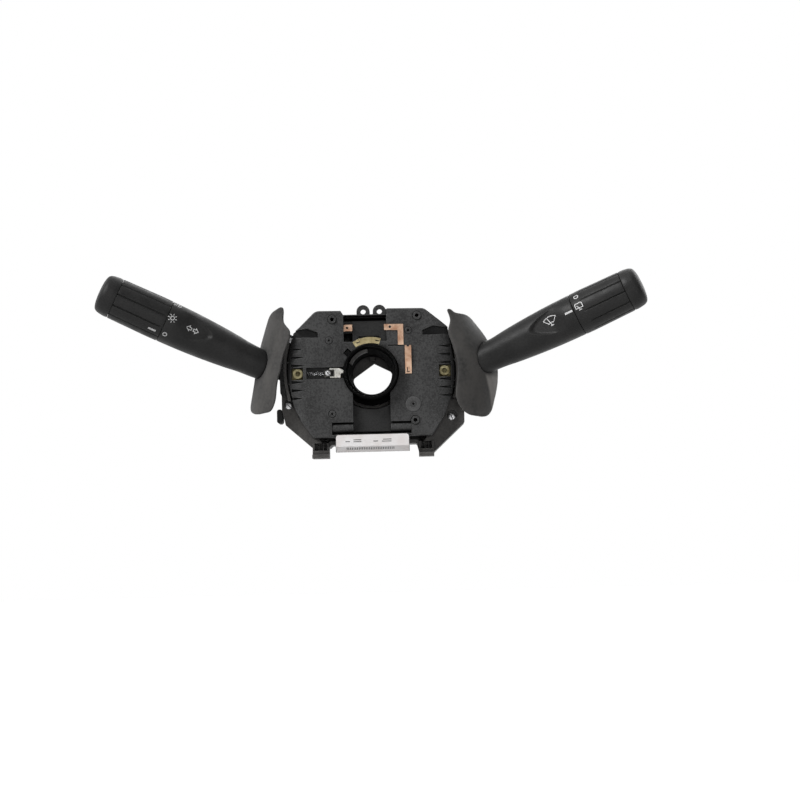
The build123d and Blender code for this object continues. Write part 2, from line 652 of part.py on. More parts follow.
def horn_brush():
    """Arc-shaped brass contact that presses on the wheel's slip ring."""
    sector = Polyline((0, 0), (-18.4, 31.2), (-18.4, 50), (16, 50), (11.4, 35), close=True)
    band = (Circle(22.9) - Circle(HUB_RADIUS + 0.8)) & make_face(sector)
    slots = [Rot(0, 0, turn) * Pos(20.9, 0) * Rectangle(0.7, 2.6) for turn in (77, 112)]
    arc = slab(band - slots, 54.4, 55.2)
    stem = block(-5.5, 1.5, 20.9, 22.2, 46.2, 54.6)
    return arc + stem


# ---------------------------------------------------------------- switch modules (drawn on the left)


def module_case(side):
    """Open moulded case with the floor, walls and lever window of one switch module."""
    shell = block(CASE_OUTER_X, CASE_INNER_X, CASE_BOTTOM, CASE_TOP, CASE_BACK, CASE_FRONT)
    shell -= block(
        CASE_OUTER_X + CASE_WALL, CASE_INNER_X - CASE_WALL, CASE_BOTTOM + CASE_WALL, CASE_TOP - CASE_WALL,
        CASE_BACK + CASE_WALL, CASE_FRONT,
    )
    low, high = side.window
    shell -= block(CASE_OUTER_X - 1, CASE_OUTER_X + CASE_WALL + 1, low, high, WINDOW_BACK, CASE_FRONT)
    shell += rod(3.6, CASE_BACK, 22.4, PIVOT_X, side.pivot_height)
    return shell - rod(PIVOT_PIN, 21, 36, PIVOT_X, side.pivot_height)


def module_cover(side):
    """Lid of one switch module."""
    lid = block(CASE_OUTER_X, CASE_INNER_X, CASE_BOTTOM, CASE_TOP, CASE_FRONT, COVER_FRONT)
    low, high = side.window
    lid -= block(CASE_OUTER_X - 1, CASE_OUTER_X + 5, low - 1, high + 1, CASE_FRONT, COVER_FRONT)
    return lid - rod(PIVOT_PIN, CASE_FRONT - 1, COVER_FRONT, PIVOT_X, side.pivot_height)


def pivot_pin(side):
    """Steel pin that the lever swings on."""
    return rod(PIVOT_PIN, 21, COVER_FRONT, PIVOT_X, side.pivot_height)


def circuit_board(side):
    """Contact board on the floor of the case."""
    board = block(
        CASE_OUTER_X + CASE_WALL + 0.3, CASE_INNER_X - CASE_WALL - 0.3,
        CASE_BOTTOM + CASE_WALL + 0.3, CASE_TOP - CASE_WALL - 0.3, CASE_BACK + CASE_WALL, 22.0,
    )
    return board - rod(3.7, CASE_BACK, 23, PIVOT_X, side.pivot_height)


def detent_track(side):
    """Curved track with a notch for each position of the lever."""
    arc = Circle(TRACK_RADIUS + 1.4) - Circle(TRACK_RADIUS)
    sector = make_face(Polyline((0, 0), (26, -12), (26, 12), close=True))
    notches = [Rot(0, 0, turn) * Pos(TRACK_RADIUS, 0) * Circle(0.7) for turn in (-7, 0, 7)]
    plan = Pos(PIVOT_X, side.pivot_height) * ((arc & sector) - notches)
    return slab(plan, PIVOT_DEPTH - 4, PIVOT_DEPTH + 4)


def connector():
    """Socket for the wiring plug, open to the rear."""
    x, z, width, height = CONNECTOR
    wall = 1.5
    shell = block(x - width / 2, x + width / 2, z - height / 2, z + height / 2, CONNECTOR_BACK, CASE_BACK)
    shell -= block(
        x - width / 2 + wall, x + width / 2 - wall, z - height / 2 + wall, z + height / 2 - wall,
        CONNECTOR_BACK, CASE_BACK - 2.5,
    )
    return shell - block(x - 3, x + 3, z + height / 2 - wall, z + height / 2, CONNECTOR_BACK, 11)


def terminals():
    """Two rows of blade terminals inside the socket."""
    x, z = CONNECTOR[:2]
    blades = []
    for column in range(5):
        for row in (-1, 1):
            centre_x, centre_z = x + (column - 2) * 3.6, z + row * 3.6
            blades.append(
                block(centre_x - 0.7, centre_x + 0.7, centre_z - 0.3, centre_z + 0.3, 8.5, CASE_BACK - 2.5)
            )
    return Compound(children=[blade.solid() for blade in blades])


# ---------------------------------------------------------------- levers (drawn on the left)


def gimbal(side):
    """Rocker that swings on the pivot pin and holds the pull pivot."""
    frame = swing_frame(side)
    half, back, front, reach = 8.0, 5.2, 7.3, 11.2  # half height, reach to the rear, front and lever
    hub = Pos(0, (back - front) / 2, 0) * Rot(90, 0, 0) * Cylinder(4.6, back + front)
    body = Pos(0, (back - front) / 2, reach / 2) * Box(2 * half, back + front, reach)
    slot = Pos(0, 0, 12.0) * Box(2 * (BLADE_HALF + GAP), 30, 16)
    tail = detent_frame(side) * (Pos(0, 0, -5.5) * Box(6, 6, 11))
    pin_bore = Rot(90, 0, 0) * Cylinder(PIVOT_PIN + FIT, 30)
    plunger_bore = detent_frame(side) * (Pos(0, 0, -8) * Cylinder(1.85, 6.2))
    lean = radians(LEVER_LEAN)
    tilt_bore = Pos(0, -TILT_ARM * sin(lean), TILT_ARM * cos(lean)) * Rot(0, 90, 0) * Cylinder(TILT_PIN, 30)
    return frame * (body + hub - slot - pin_bore - tilt_bore) + tail - plunger_bore - frame * pin_bore


def tilt_pin(side):
    """Steel pin that the lever is pulled on."""
    lean = radians(LEVER_LEAN)
    centre = Pos(0, -TILT_ARM * sin(lean), TILT_ARM * cos(lean))
    return swing_frame(side) * (centre * Rot(0, 90, 0) * Cylinder(TILT_PIN, 15.8))


def detent_plunger(side):
    """Sprung plunger whose round tip rides on the detent track."""
    body = Pos(0, 0, -10.4) * Cylinder(1.8, 5.2)
    tip = Pos(0, 0, -12.8) * Sphere(1.7)
    bore = Pos(0, 0, -8.8) * Cylinder(1.1, 4)
    return detent_frame(side) * (body + tip - bore)


def detent_spring(side):
    """Spring inside the plunger, drawn as a plain sleeve."""
    return detent_frame(side) * (Pos(0, 0, -7.9) * (Cylinder(1.0, 5.6) - Cylinder(0.6, 5.6)))


def grip_profile(clearance=0.0):
    """Outline of the tapering grip as (radius, station) points."""
    curve = (
        (7.0, NECK_END - 3), (9.6, NECK_END), (10.15, ROOT_END), (10.7, 50), (11.65, 58),
        (12.4, 66), (13.0, 74), (13.5, 82), (14.0, 94), (14.2, BODY_END - 0.6), (13.6, BODY_END),
    )
    skin = [(radius + clearance, station) for radius, station in curve]
    return [(0, NECK_END - 3), *skin, (0, BODY_END)]


def thumb_scoop():
    """Cutter for the flat that the thumb rests on: a rounded tip, a floor that runs out."""
    rise = KNOB_RADIUS - SCOOP_FLOOR  # the floor climbs to the skin at its end
    length = SCOOP_END - SCOOP_TIP
    plan = Plane(origin=(0, 0, SCOOP_TIP), x_dir=(0, 0, 1), z_dir=(0, -1, 0))
    tip = Pos(SCOOP_HALF, 0) * Circle(SCOOP_HALF) + Pos(SCOOP_HALF + length / 2, 0) * Rectangle(
        length, 2 * SCOOP_HALF
    )
    prism = extrude(plan.offset(SCOOP_FLOOR) * tip, amount=2 * rise, taper=-40)
    ramp = Polyline(
        (0, SCOOP_FLOOR), (5, SCOOP_FLOOR), (length + 10, SCOOP_FLOOR + rise * (1 + 10 / length)),
        (length + 10, 30), (-10, 30), (-10, SCOOP_FLOOR), close=True,
    )
    side_view = Plane(origin=(0, 0, SCOOP_TIP), x_dir=(0, 0, 1), z_dir=(1, 0, 0))
    keep = extrude(side_view * make_face(ramp), amount=20, both=True)
    return Rot(0, 0, SCOOP_TURN) * (prism & keep)


def lever_tube(side):
    """Lever body: pivot blade, neck and the long tapering grip with its thumb scoop."""
    frame = lever_frame(side)
    grip = turned(grip_profile(), frame)
    blade = Rot(0, 90, 0) * Cylinder(3.9, 2 * BLADE_HALF) + Pos(0, 0, 13) * Box(2 * BLADE_HALF, 7, 26)
    blade = frame * (Pos(0, 0, TILT_ARM) * blade)
    body = grip + blade
    body -= frame * (Pos(0, 0, TILT_ARM) * Rot(0, 90, 0) * Cylinder(TILT_PIN + FIT, 20))
    body -= frame * (Pos(0, 0, 74) * Cylinder(8, 52))
    body -= frame * (Pos(0, 0, 104) * Cylinder(SHAFT_RADIUS + FIT, 10))
    return body - frame * thumb_scoop()


def guard_section(front, rear):
    """Top view of the guard at one height: a thin curved wall between its two edges."""
    thickness, bulge = 2.0, 5.5
    chord = Vector(*rear) - Vector(*front)
    outward = Vector(-chord.Y, chord.X).normalized()  # away from the steering axis
    middle = (Vector(*front) + Vector(*rear)) / 2
    edges = []
    for inset in (0, thickness):
        shift = outward * -inset * 0.8
        arc = (Vector(*front) + shift, middle + outward * (bulge - inset), Vector(*rear) + shift)
        edges.append([(point.X, point.Y) for point in arc])
    outer, inner = edges
    return make_face(
        [ThreePointArc(*outer), Line(outer[2], inner[2]), ThreePointArc(*inner), Line(inner[0], outer[0])]
    )


def shield(side):
    """Curved guard at the root of the lever that closes the slot of the column shroud."""
    heights = (-32, -12, 8, 28, 50)
    front_depth, rear_depth = side.shield_depths
    sections = [
        Pos(0, 0, z) * guard_section((inner_x, -front_depth), (outer_x, -rear_depth))
        for z, inner_x, outer_x in zip(heights, side.shield_inner, side.shield_outer)
    ]
    shell = loft(sections) & slab(make_face(Spline(*side.shield_outline, periodic=True)), 0, 60)
    neck = lever_frame(side) * (Pos(0, 0, 20) * Box(2 * BLADE_HALF + 0.4, 7.4, 34))
    return shell - turned(grip_profile(FIT), lever_frame(side)) - neck


def knob(side):
    """Rotary ring at the end of the lever, with long flutes."""
    profile = (
        (SHAFT_RADIUS, 116), (11.6, 116), (11.6, BODY_END + 0.3), (13.7, BODY_END + 0.3),
        (KNOB_RADIUS, BODY_END + 0.9), (KNOB_RADIUS + 0.1, 114), (13.9, KNOB_END), (11.6, KNOB_END),
        (11.6, 119), (SHAFT_RADIUS, 119),
    )
    ring = turned(profile, lever_frame(side))
    length = KNOB_END + 1 - side.flute_start
    cutter = Pos(0, FLUTE_DEPTH - KNOB_RADIUS - 1, side.flute_start + length / 2) * Box(
        FLUTE_WIDTH, 2, length
    )
    turns = [side.flute_phase + index * 360 / FLUTES for index in range(FLUTES)]
    return ring - [lever_frame(side) * Rot(0, 0, turn) * cutter for turn in turns]


def end_cap(side):
    """Rounded cap that closes the end of the knob."""
    profile = (
        (0, KNOB_END - 5), (11.6, KNOB_END - 5), (11.6, KNOB_END), (13.5, KNOB_END + 0.1),
        (13.8, KNOB_END + 0.7), (13.5, 148.5), (12.9, 151.3), (11.3, 153.3), (8.0, 154.3),
        (0, CAP_END),
    )
    return turned(profile, lever_frame(side))


def knob_shaft(side):
    """Shaft from the knob to its contact drum inside the lever."""
    profile = (
        (0, 92), (7.4, 92), (7.4, 97), (SHAFT_RADIUS, 97), (SHAFT_RADIUS, 122), (0, 122),
    )
    return turned(profile, lever_frame(side))


# ---------------------------------------------------------------- write the parts

SINGLE_PARTS = (
    base_housing, side_buffer, clamp_screw, clamp_nut, base_screws, retaining_clips, front_carrier,
    side_screws, label, pocket_plate, horn_terminal, horn_track, horn_leaf, hub_bearing_ring,
    hub_rotor, cancel_cam, cancel_pawl, pawl_screw, pawl_spring, horn_brush,
)
TWIN_PARTS = (connector, terminals)  # the same on both sides
SIDE_PARTS = (
    module_case, module_cover, pivot_pin, circuit_board, detent_track, gimbal, tilt_pin,
    detent_plunger, detent_spring, lever_tube, shield, knob, end_cap, knob_shaft,
)

os.makedirs("parts", exist_ok=True)
for make in SINGLE_PARTS:
    export_step(make(), f"parts/{make.__name__}.step")
for side in (LEFT, RIGHT):
    shapes = [(make.__name__, make()) for make in TWIN_PARTS]
    shapes += [(make.__name__, make(side)) for make in SIDE_PARTS]
    for name, shape in shapes:
        if side.mirrored:
            shape = mirror(shape, about=Plane.YZ)
        export_step(shape, f"parts/{side.name}_{name}.step")
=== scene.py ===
import json
from math import cos, pi, radians, sin, tau

import bmesh
import bpy
from mathutils import Matrix, Vector
from mathutils.geometry import interpolate_bezier


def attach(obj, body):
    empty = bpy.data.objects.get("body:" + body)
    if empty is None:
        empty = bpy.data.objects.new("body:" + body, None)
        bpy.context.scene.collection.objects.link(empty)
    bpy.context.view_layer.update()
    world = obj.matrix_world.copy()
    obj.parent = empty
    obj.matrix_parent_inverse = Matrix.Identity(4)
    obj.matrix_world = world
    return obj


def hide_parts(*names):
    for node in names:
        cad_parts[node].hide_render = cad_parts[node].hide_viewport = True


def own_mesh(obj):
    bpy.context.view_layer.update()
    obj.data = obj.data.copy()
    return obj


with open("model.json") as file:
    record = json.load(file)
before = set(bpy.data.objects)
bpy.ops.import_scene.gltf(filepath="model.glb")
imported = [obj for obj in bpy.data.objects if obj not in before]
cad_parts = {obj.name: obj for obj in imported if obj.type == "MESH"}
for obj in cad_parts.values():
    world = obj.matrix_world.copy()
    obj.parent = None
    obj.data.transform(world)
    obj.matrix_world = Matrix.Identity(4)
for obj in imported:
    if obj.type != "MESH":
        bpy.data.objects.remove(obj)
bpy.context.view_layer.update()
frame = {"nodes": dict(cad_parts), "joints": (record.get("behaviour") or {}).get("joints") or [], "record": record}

# Looks of a steering column stalk switch. Pieces are drawn in millimetres and
# scaled to metres when they are placed. +Z is up and the face looks along -Y.

MM = 0.001
TO_METRES = Matrix.Scale(MM, 4)
SIDES = ("left", "right")

# ---------------------------------------------------------------- camera

PICTURE = 800  # pixels along each side of the square picture
AIM_POINT = Vector((0, -50, 0))  # centre of the hub's front, mm
AIM_PIXEL = (371, 372)
AIM_SCALE = 1.5  # pixels per mm at the aim point
AIM_DISTANCE = 1100.0
LOOK_UP, LOOK_LEFT, ROLL = 4.5, 0.7, 1.4  # degrees
SENSOR = 36.0  # mm


def make_camera():
    """Camera in front of the face, a little below it and looking slightly up."""
    forward = Vector((
        -sin(radians(LOOK_LEFT)) * cos(radians(LOOK_UP)),
        cos(radians(LOOK_LEFT)) * cos(radians(LOOK_UP)),
        sin(radians(LOOK_UP)),
    ))
    level = Vector((cos(radians(LOOK_LEFT)), sin(radians(LOOK_LEFT)), 0))
    right = Matrix.Rotation(radians(ROLL), 3, forward) @ level
    up = right.cross(forward)
    aside = right * (PICTURE / 2 - AIM_PIXEL[0]) - up * (PICTURE / 2 - AIM_PIXEL[1])
    place = AIM_POINT - forward * AIM_DISTANCE + aside / AIM_SCALE
    camera = bpy.data.objects.new("camera", bpy.data.cameras.new("camera"))
    camera.data.sensor_width = SENSOR
    camera.data.lens = SENSOR * AIM_SCALE * AIM_DISTANCE / PICTURE
    turn = Matrix((right, up, -forward)).transposed().to_4x4()
    camera.matrix_world = Matrix.Translation(place * MM) @ turn
    bpy.context.scene.collection.objects.link(camera)
    bpy.context.scene.camera = camera


# ---------------------------------------------------------------- node helpers


def new_material(name):
    """A node material with its Principled shader."""
    material = bpy.data.materials.new(name)
    material.use_nodes = True
    return material, material.node_tree, material.node_tree.nodes["Principled BSDF"]


def add_node(tree, kind, inputs=(), **settings):
    """One node, with its settings, and its inputs as values or as links."""
    node = tree.nodes.new(kind)
    for name, value in settings.items():
        setattr(node, name, value)
    for socket, value in dict(inputs).items():
        if isinstance(value, bpy.types.NodeSocket):
            tree.links.new(value, node.inputs[socket])
        else:
            node.inputs[socket].default_value = value
    return node


def calculate(tree, operation, first, second):
    """One sum of two numbers or links."""
    return add_node(tree, "ShaderNodeMath", {0: first, 1: second}, operation=operation).outputs[0]


def noise(tree, size_mm, detail=2.0, stretch=(1, 1, 1)):
    """Noise on object coordinates, with features of about the given size."""
    place = add_node(tree, "ShaderNodeTexCoord").outputs["Object"]
    scaled = add_node(tree, "ShaderNodeMapping", {"Vector": place, "Scale": stretch}).outputs["Vector"]
    settings = {"Vector": scaled, "Scale": 1 / (size_mm * MM), "Detail": detail}
    return add_node(tree, "ShaderNodeTexNoise", settings).outputs["Fac"]


def spread(tree, value, low, high, start=0.35, end=0.65):
    """A value from a texture, spread from low to high."""
    settings = {"Value": value, "From Min": start, "From Max": end, "To Min": low, "To Max": high}
    return add_node(tree, "ShaderNodeMapRange", settings).outputs["Result"]


def blend_colours(tree, share, first, second):
    """Two colours, mixed by a share from 0 to 1."""
    factor, colour_a, colour_b, mixed = 0, 6, 7, 2  # sockets of a Mix node set to colour
    inputs = {factor: share, colour_a: first, colour_b: second}
    return add_node(tree, "ShaderNodeMix", inputs, data_type="RGBA").outputs[mixed]


def rounded_normal(tree, radius_mm):
    """Normal with every sharp edge softened to a small radius."""
    return add_node(tree, "ShaderNodeBevel", {"Radius": radius_mm * MM}, samples=6).outputs["Normal"]


def bump(tree, height, strength, depth_mm, normal):
    """Fine relief on top of a normal."""
    settings = {"Height": height, "Strength": strength, "Distance": depth_mm * MM, "Normal": normal}
    return add_node(tree, "ShaderNodeBump", settings).outputs["Normal"]


def edge_share(tree, radius_mm):
    """1 on convex or concave edges and 0 on flat ground."""
    soft = rounded_normal(tree, radius_mm)
    flat = add_node(tree, "ShaderNodeNewGeometry").outputs["Normal"]
    dot = add_node(tree, "ShaderNodeVectorMath", {0: soft, 1: flat}, operation="DOT_PRODUCT")
    return spread(tree, dot.outputs["Value"], 1.0, 0.0, 0.78, 0.97)


def open_share(tree, reach_mm):
    """1 on open ground, falling towards 0 in slits, grooves and inner corners, where shade is painted."""
    settings = {"Distance": reach_mm * MM}
    occlusion = add_node(tree, "ShaderNodeAmbientOcclusion", settings, samples=8).outputs["AO"]
    return spread(tree, occlusion, 0, 1, 0.3, 0.92)


def recess_share(tree, floor_mm, face_mm):
    """0 on surfaces deeper than the floor and 1 from the face forward, with a fade between."""
    place = add_node(tree, "ShaderNodeTexCoord").outputs["Object"]
    depth = add_node(tree, "ShaderNodeSeparateXYZ", {0: place}).outputs["Y"]
    return spread(tree, depth, 0, 1, -floor_mm * MM, -face_mm * MM)


def grey(level, warmth=0.0):
    """Linear colour from an 8-bit grey level; warmth adds red and takes blue."""
    value = (level / 255 / 12.92) if level < 11 else ((level / 255 + 0.055) / 1.055) ** 2.4
    return (value * (1 + warmth), value, value * (1 - warmth), 1)


def colour(red, green, blue):
    """Linear colour from 8-bit display values."""
    return tuple(grey(value)[1] for value in (red, green, blue)) + (1,)


def darkened(tone, share):
    """A linear colour brought down to a share of its brightness."""
    return tuple(value * share for value in tone[:3]) + (1,)


def mirrored_share(tree, path):
    """1 for rays that a glossy or a clear surface sends on, else 0."""
    return calculate(tree, "MAXIMUM", path["Is Glossy Ray"], path["Is Transmission Ray"])


def shown_share(tree, strength):
    """The given strength for rays from the camera and from glossy or clear surfaces, else 0."""
    path = add_node(tree, "ShaderNodeLightPath").outputs
    shown = calculate(tree, "MAXIMUM", path["Is Camera Ray"], mirrored_share(tree, path))
    return calculate(tree, "MULTIPLY", shown, strength)


# ---------------------------------------------------------------- materials

BRIM_LIGHT_LAYER = "brim_painted_light"  # vertex values of the guards, 1 where the brim is painted lighter as if lit
SPECK_SIZE, DUST_SIZE = 1.1, 0.55  # mm
PLASTIC_SLITS, GUARD_SLITS = 2.4, 4  # mm, how wide a slit is that still gets painted shade
SLIT_SHADE, METAL_SLIT_SHADE = 0.25, 0.12  # brightness left in slits by the painted shade
RECESS_SHADE_COVER = 0.7  # share of the painted recess shade on the lowest floors
EDGE_SPREAD = 1.4  # how much wider the rubbed band, with its painted highlight, is than the round of the edge
PAWL_DARK_FLOOR, PAWL_DARK_FACE = 47.5, 48.4  # mm, depths between which the pawl goes from a dark tone to its own colour


def moulded_plastic(
    name, dark, light, gloss, grain_mm, grain_depth, edge=0.35, wear_and_highlight=None, patch_mm=14, recess_shade=None,
    dusty=0.0, mottle=0.35, shine=0.3,
):
    """Moulded plastic with eroded grain, uneven tone and gloss, soft rubbed edges with a painted highlight, and
    painted shade in slits.

    The recess colour is painted shade, with the floor and face depths between which it fades out.
    """
    material, tree, shader = new_material(name)
    patches = noise(tree, patch_mm, 3)
    specks, dust = noise(tree, SPECK_SIZE, 3), noise(tree, DUST_SIZE, 1)
    shade = blend_colours(tree, spread(tree, patches, 0, 1), dark, light)
    speckled = blend_colours(tree, spread(tree, specks, 0, mottle, 0.45, 0.62), shade, light)
    speckled = blend_colours(tree, spread(tree, specks, mottle, 0, 0.38, 0.5), speckled, dark)
    speckled = blend_colours(tree, spread(tree, dust, 0, dusty, 0.66, 0.74), speckled, wear_and_highlight or light)
    # lighter edges: rubbed wear together with a painted highlight
    rubbed_and_highlit = blend_colours(tree, edge_share(tree, edge * EDGE_SPREAD), speckled, wear_and_highlight or light)
    # painted shade on floors deeper than the face
    if recess_shade:
        sunk_shade = spread(tree, recess_share(tree, *recess_shade[1:]), RECESS_SHADE_COVER, 0, 0, 1)
        rubbed_and_highlit = blend_colours(tree, sunk_shade, rubbed_and_highlit, recess_shade[0])
    # painted shade in slits, grooves and inner corners
    slit_shade_tone = darkened(dark, SLIT_SHADE)
    slit_shaded = blend_colours(tree, open_share(tree, PLASTIC_SLITS), slit_shade_tone, rubbed_and_highlit)
    tree.links.new(slit_shaded, shader.inputs["Base Color"])
    uneven_gloss = spread(tree, noise(tree, patch_mm / 4, 4), gloss[0], gloss[1])
    tree.links.new(uneven_gloss, shader.inputs["Roughness"])
    grain = noise(tree, grain_mm, 3)
    relief = bump(tree, grain, 0.8, grain_depth, rounded_normal(tree, edge))
    tree.links.new(relief, shader.inputs["Normal"])
    shader.inputs["Specular IOR Level"].default_value = shine
    return material


def soft_skin(name):
    """Dull, slightly chalky skin of the lever guards, with painted light on the right guard's brim, painted
    highlights on edges and painted shade in slits.
    """
    material, tree, shader = new_material(name)
    clouds = noise(tree, 13, 4, (1, 1, 0.6))
    shade = blend_colours(tree, spread(tree, clouds, 0, 1), grey(44, 0.02), grey(72, 0.05))
    bloom = blend_colours(tree, spread(tree, noise(tree, 2.2, 3), 0, 0.4), shade, grey(78, 0.05))
    # painted light: the right guard's brim is made lighter as if lit
    brim_lit = add_node(tree, "ShaderNodeAttribute", attribute_name=BRIM_LIGHT_LAYER).outputs["Fac"]
    bloom = blend_colours(tree, brim_lit, bloom, grey(132, 0.05))
    # lighter edges: wear together with a painted highlight
    rubbed_and_highlit = blend_colours(tree, edge_share(tree, 0.9), bloom, grey(94, 0.05))
    # painted shade in slits and inner corners
    slit_shaded = blend_colours(tree, open_share(tree, GUARD_SLITS), grey(20), rubbed_and_highlit)
    tree.links.new(slit_shaded, shader.inputs["Base Color"])
    tree.links.new(spread(tree, clouds, 0.62, 0.8), shader.inputs["Roughness"])
    relief = bump(tree, noise(tree, 0.45, 3), 0.7, 0.03, rounded_normal(tree, 0.5))
    tree.links.new(relief, shader.inputs["Normal"])
    shader.inputs["Specular IOR Level"].default_value = 0.3
    shader.inputs["Sheen Weight"].default_value = 0.15
    return material


def metal(name, dark, light, gloss, scratch=(1, 1, 1), edge=0.15, cavity_mm=1.0):
    """Bare sheet or turned metal with tarnish clouds, fine directional scratches, painted highlights on edges and
    painted shade in hollows.
    """
    material, tree, shader = new_material(name)
    tarnish = noise(tree, 5, 4)
    shade = blend_colours(tree, spread(tree, tarnish, 0, 1), dark, light)
    # painted highlight on edges
    painted_edge_highlight = blend_colours(tree, edge_share(tree, edge * 2), shade, light)
    # painted shade in hollows and slits
    slit_shade_tone = darkened(dark, METAL_SLIT_SHADE)
    slit_shaded = blend_colours(tree, open_share(tree, cavity_mm), slit_shade_tone, painted_edge_highlight)
    tree.links.new(slit_shaded, shader.inputs["Base Color"])
    tree.links.new(spread(tree, noise(tree, 1.5, 3), gloss[0], gloss[1]), shader.inputs["Roughness"])
    lines = noise(tree, 0.3, 2, scratch)
    relief = bump(tree, lines, 0.35, 0.012, rounded_normal(tree, edge))
    tree.links.new(relief, shader.inputs["Normal"])
    shader.inputs["Metallic"].default_value = 1.0
    return material


def natural_acetal(name):
    """Off-white bearing plastic that lets a little light in."""
    material, tree, shader = new_material(name)
    clouds = spread(tree, noise(tree, 3, 3), 0, 1)
    shade = blend_colours(tree, clouds, colour(196, 194, 186), colour(226, 225, 219))
    smeared = spread(tree, noise(tree, 1.3, 3), 0, 0.6, 0.52, 0.66)
    smears = blend_colours(tree, smeared, shade, colour(112, 110, 102))
    # darker on edges
    dark_edged = blend_colours(tree, edge_share(tree, 0.35), smears, colour(120, 118, 110))
    # darker below the dark floor depth, fading out by the face depth
    above_dark_floor = recess_share(tree, PAWL_DARK_FLOOR, PAWL_DARK_FACE)
    darkened_low = blend_colours(tree, above_dark_floor, colour(64, 63, 58), dark_edged)
    tree.links.new(darkened_low, shader.inputs["Base Color"])
    shader.inputs["Roughness"].default_value = 0.42
    shader.inputs["Subsurface Weight"].default_value = 0.2
    shader.inputs["Subsurface Radius"].default_value = (0.0008, 0.0007, 0.0006)
    relief = bump(tree, noise(tree, 0.5, 2), 0.4, 0.015, rounded_normal(tree, 0.2))
    tree.links.new(relief, shader.inputs["Normal"])
    return material


def label_paper(name):
    """Coated white label stock with a faint warm tint and soft creases."""
    material, tree, shader = new_material(name)
    clouds = spread(tree, noise(tree, 9, 3), 0, 1)
    shade = blend_colours(tree, clouds, colour(228, 222, 220), colour(238, 236, 236))
    tree.links.new(shade, shader.inputs["Base Color"])
    tree.links.new(spread(tree, noise(tree, 2, 2), 0.32, 0.5), shader.inputs["Roughness"])
    normal = add_node(tree, "ShaderNodeNewGeometry").outputs["Normal"]
    tree.links.new(bump(tree, noise(tree, 4, 3), 0.3, 0.05, normal), shader.inputs["Normal"])
    return material


def printed_ink(name, tone, light):
    """Thin opaque print with slightly uneven cover."""
    material, tree, shader = new_material(name)
    shade = blend_colours(tree, spread(tree, noise(tree, 0.6, 3), 0, 1), tone, light)
    tree.links.new(shade, shader.inputs["Base Color"])
    shader.inputs["Roughness"].default_value = 0.55
    return material


def glass_board(name):
    """Green-brown laminate of the contact boards, with a woven grain."""
    material, tree, shader = new_material(name)
    weave = noise(tree, 0.6, 1, (1, 4, 1))
    shade = blend_colours(tree, spread(tree, weave, 0, 1), colour(58, 66, 34), colour(84, 90, 48))
    tree.links.new(shade, shader.inputs["Base Color"])
    shader.inputs["Roughness"].default_value = 0.4
    tree.links.new(bump(tree, weave, 0.4, 0.02, rounded_normal(tree, 0.15)), shader.inputs["Normal"])
    return material


def pale_floor(name):
    """Pale studio floor that keeps shadows and meets the white background."""
    material, tree, shader = new_material(name)
    shade = blend_colours(tree, spread(tree, noise(tree, 120, 3), 0, 1), grey(184), grey(188))
    tree.links.new(shade, shader.inputs["Base Color"])
    shader.inputs["Roughness"].default_value = 0.9
    shader.inputs["Specular IOR Level"].default_value = 0.1
    shader.inputs["Emission Color"].default_value = (1, 1, 1, 1)
    tree.links.new(shown_share(tree, 0.7), shader.inputs["Emission Strength"])
    return material


FINISHES = {  # one for each material slot of the record
    "black_moulding": moulded_plastic(
        "black_moulding", grey(32), grey(64), (0.42, 0.6), 0.28, 0.02, wear_and_highlight=grey(96),
        # grey(10) is painted shade on the floors deeper than the face
        patch_mm=24, recess_shade=(grey(10), 46.6, 48.6), dusty=0.7, mottle=0.65),
    "base_moulding": moulded_plastic(
        "base_moulding", grey(62, 0.04), grey(84, 0.05), (0.5, 0.68), 0.35, 0.03,
        wear_and_highlight=grey(104), mottle=0.45),
    "lever_grip": moulded_plastic(
        "lever_grip", grey(31), grey(46, 0.01), (0.4, 0.52), 0.24, 0.02,
        wear_and_highlight=grey(66), patch_mm=22, shine=0.16),
    "shield_skin": soft_skin("shield_skin"),
    "hub_moulding": moulded_plastic(
        "hub_moulding", grey(9), grey(16), (0.72, 0.85), 0.5, 0.01, wear_and_highlight=grey(30), shine=0.05),
    "acetal": natural_acetal("acetal"),
    "copper_strip": metal(
        "copper_strip", colour(168, 128, 104), colour(208, 178, 154), (0.3, 0.45), (1, 1, 8)),
    "brass_strip": metal(
        "brass_strip", colour(140, 126, 92), colour(184, 172, 134), (0.3, 0.5), (8, 1, 1)),
    "brass_screw": metal(
        "brass_screw", colour(92, 84, 58), colour(158, 150, 118), (0.35, 0.55), cavity_mm=2.2),
    "bright_steel": metal(
        "bright_steel", colour(134, 134, 134), colour(206, 206, 208), (0.22, 0.4)),
    "sintered_bronze": metal(
        "sintered_bronze", colour(120, 96, 60), colour(160, 132, 90), (0.45, 0.65)),
    "buffer_rubber": moulded_plastic(
        "buffer_rubber", grey(36), grey(50), (0.7, 0.85), 0.5, 0.03, wear_and_highlight=grey(56)),
    "label_sheet": label_paper("label_sheet"),
    "board": glass_board("board"),
}
RUBBED_MOULDING = moulded_plastic(
    "worn_ring", grey(66), grey(88), (0.55, 0.7), 0.28, 0.02, wear_and_highlight=grey(100), mottle=0.4)
ZINC_PLATE = metal("zinc_plate", colour(176, 176, 176), colour(228, 228, 230), (0.42, 0.6))
WHITE_PRINT = printed_ink("white_print", grey(196), grey(216))
GREY_PRINT = printed_ink("grey_print", grey(84), grey(122))


def dress_frame():
    """Every CAD node gets the finish of its material slot."""
    for part in frame["record"]["subparts"]:
        mesh = frame["nodes"][part["node"]].data
        mesh.materials.clear()
        mesh.materials.append(FINISHES[part["material_slot"]])


# ---------------------------------------------------------------- shape helpers

FACE_VIEW = Matrix.Rotation(pi / 2, 4, "X")  # x to the right, y up and z towards the driver
WELD = 0.0005  # mm, points closer than this become one
CUT = 0.0001  # mm, how near to a cutting plane a point counts as on it


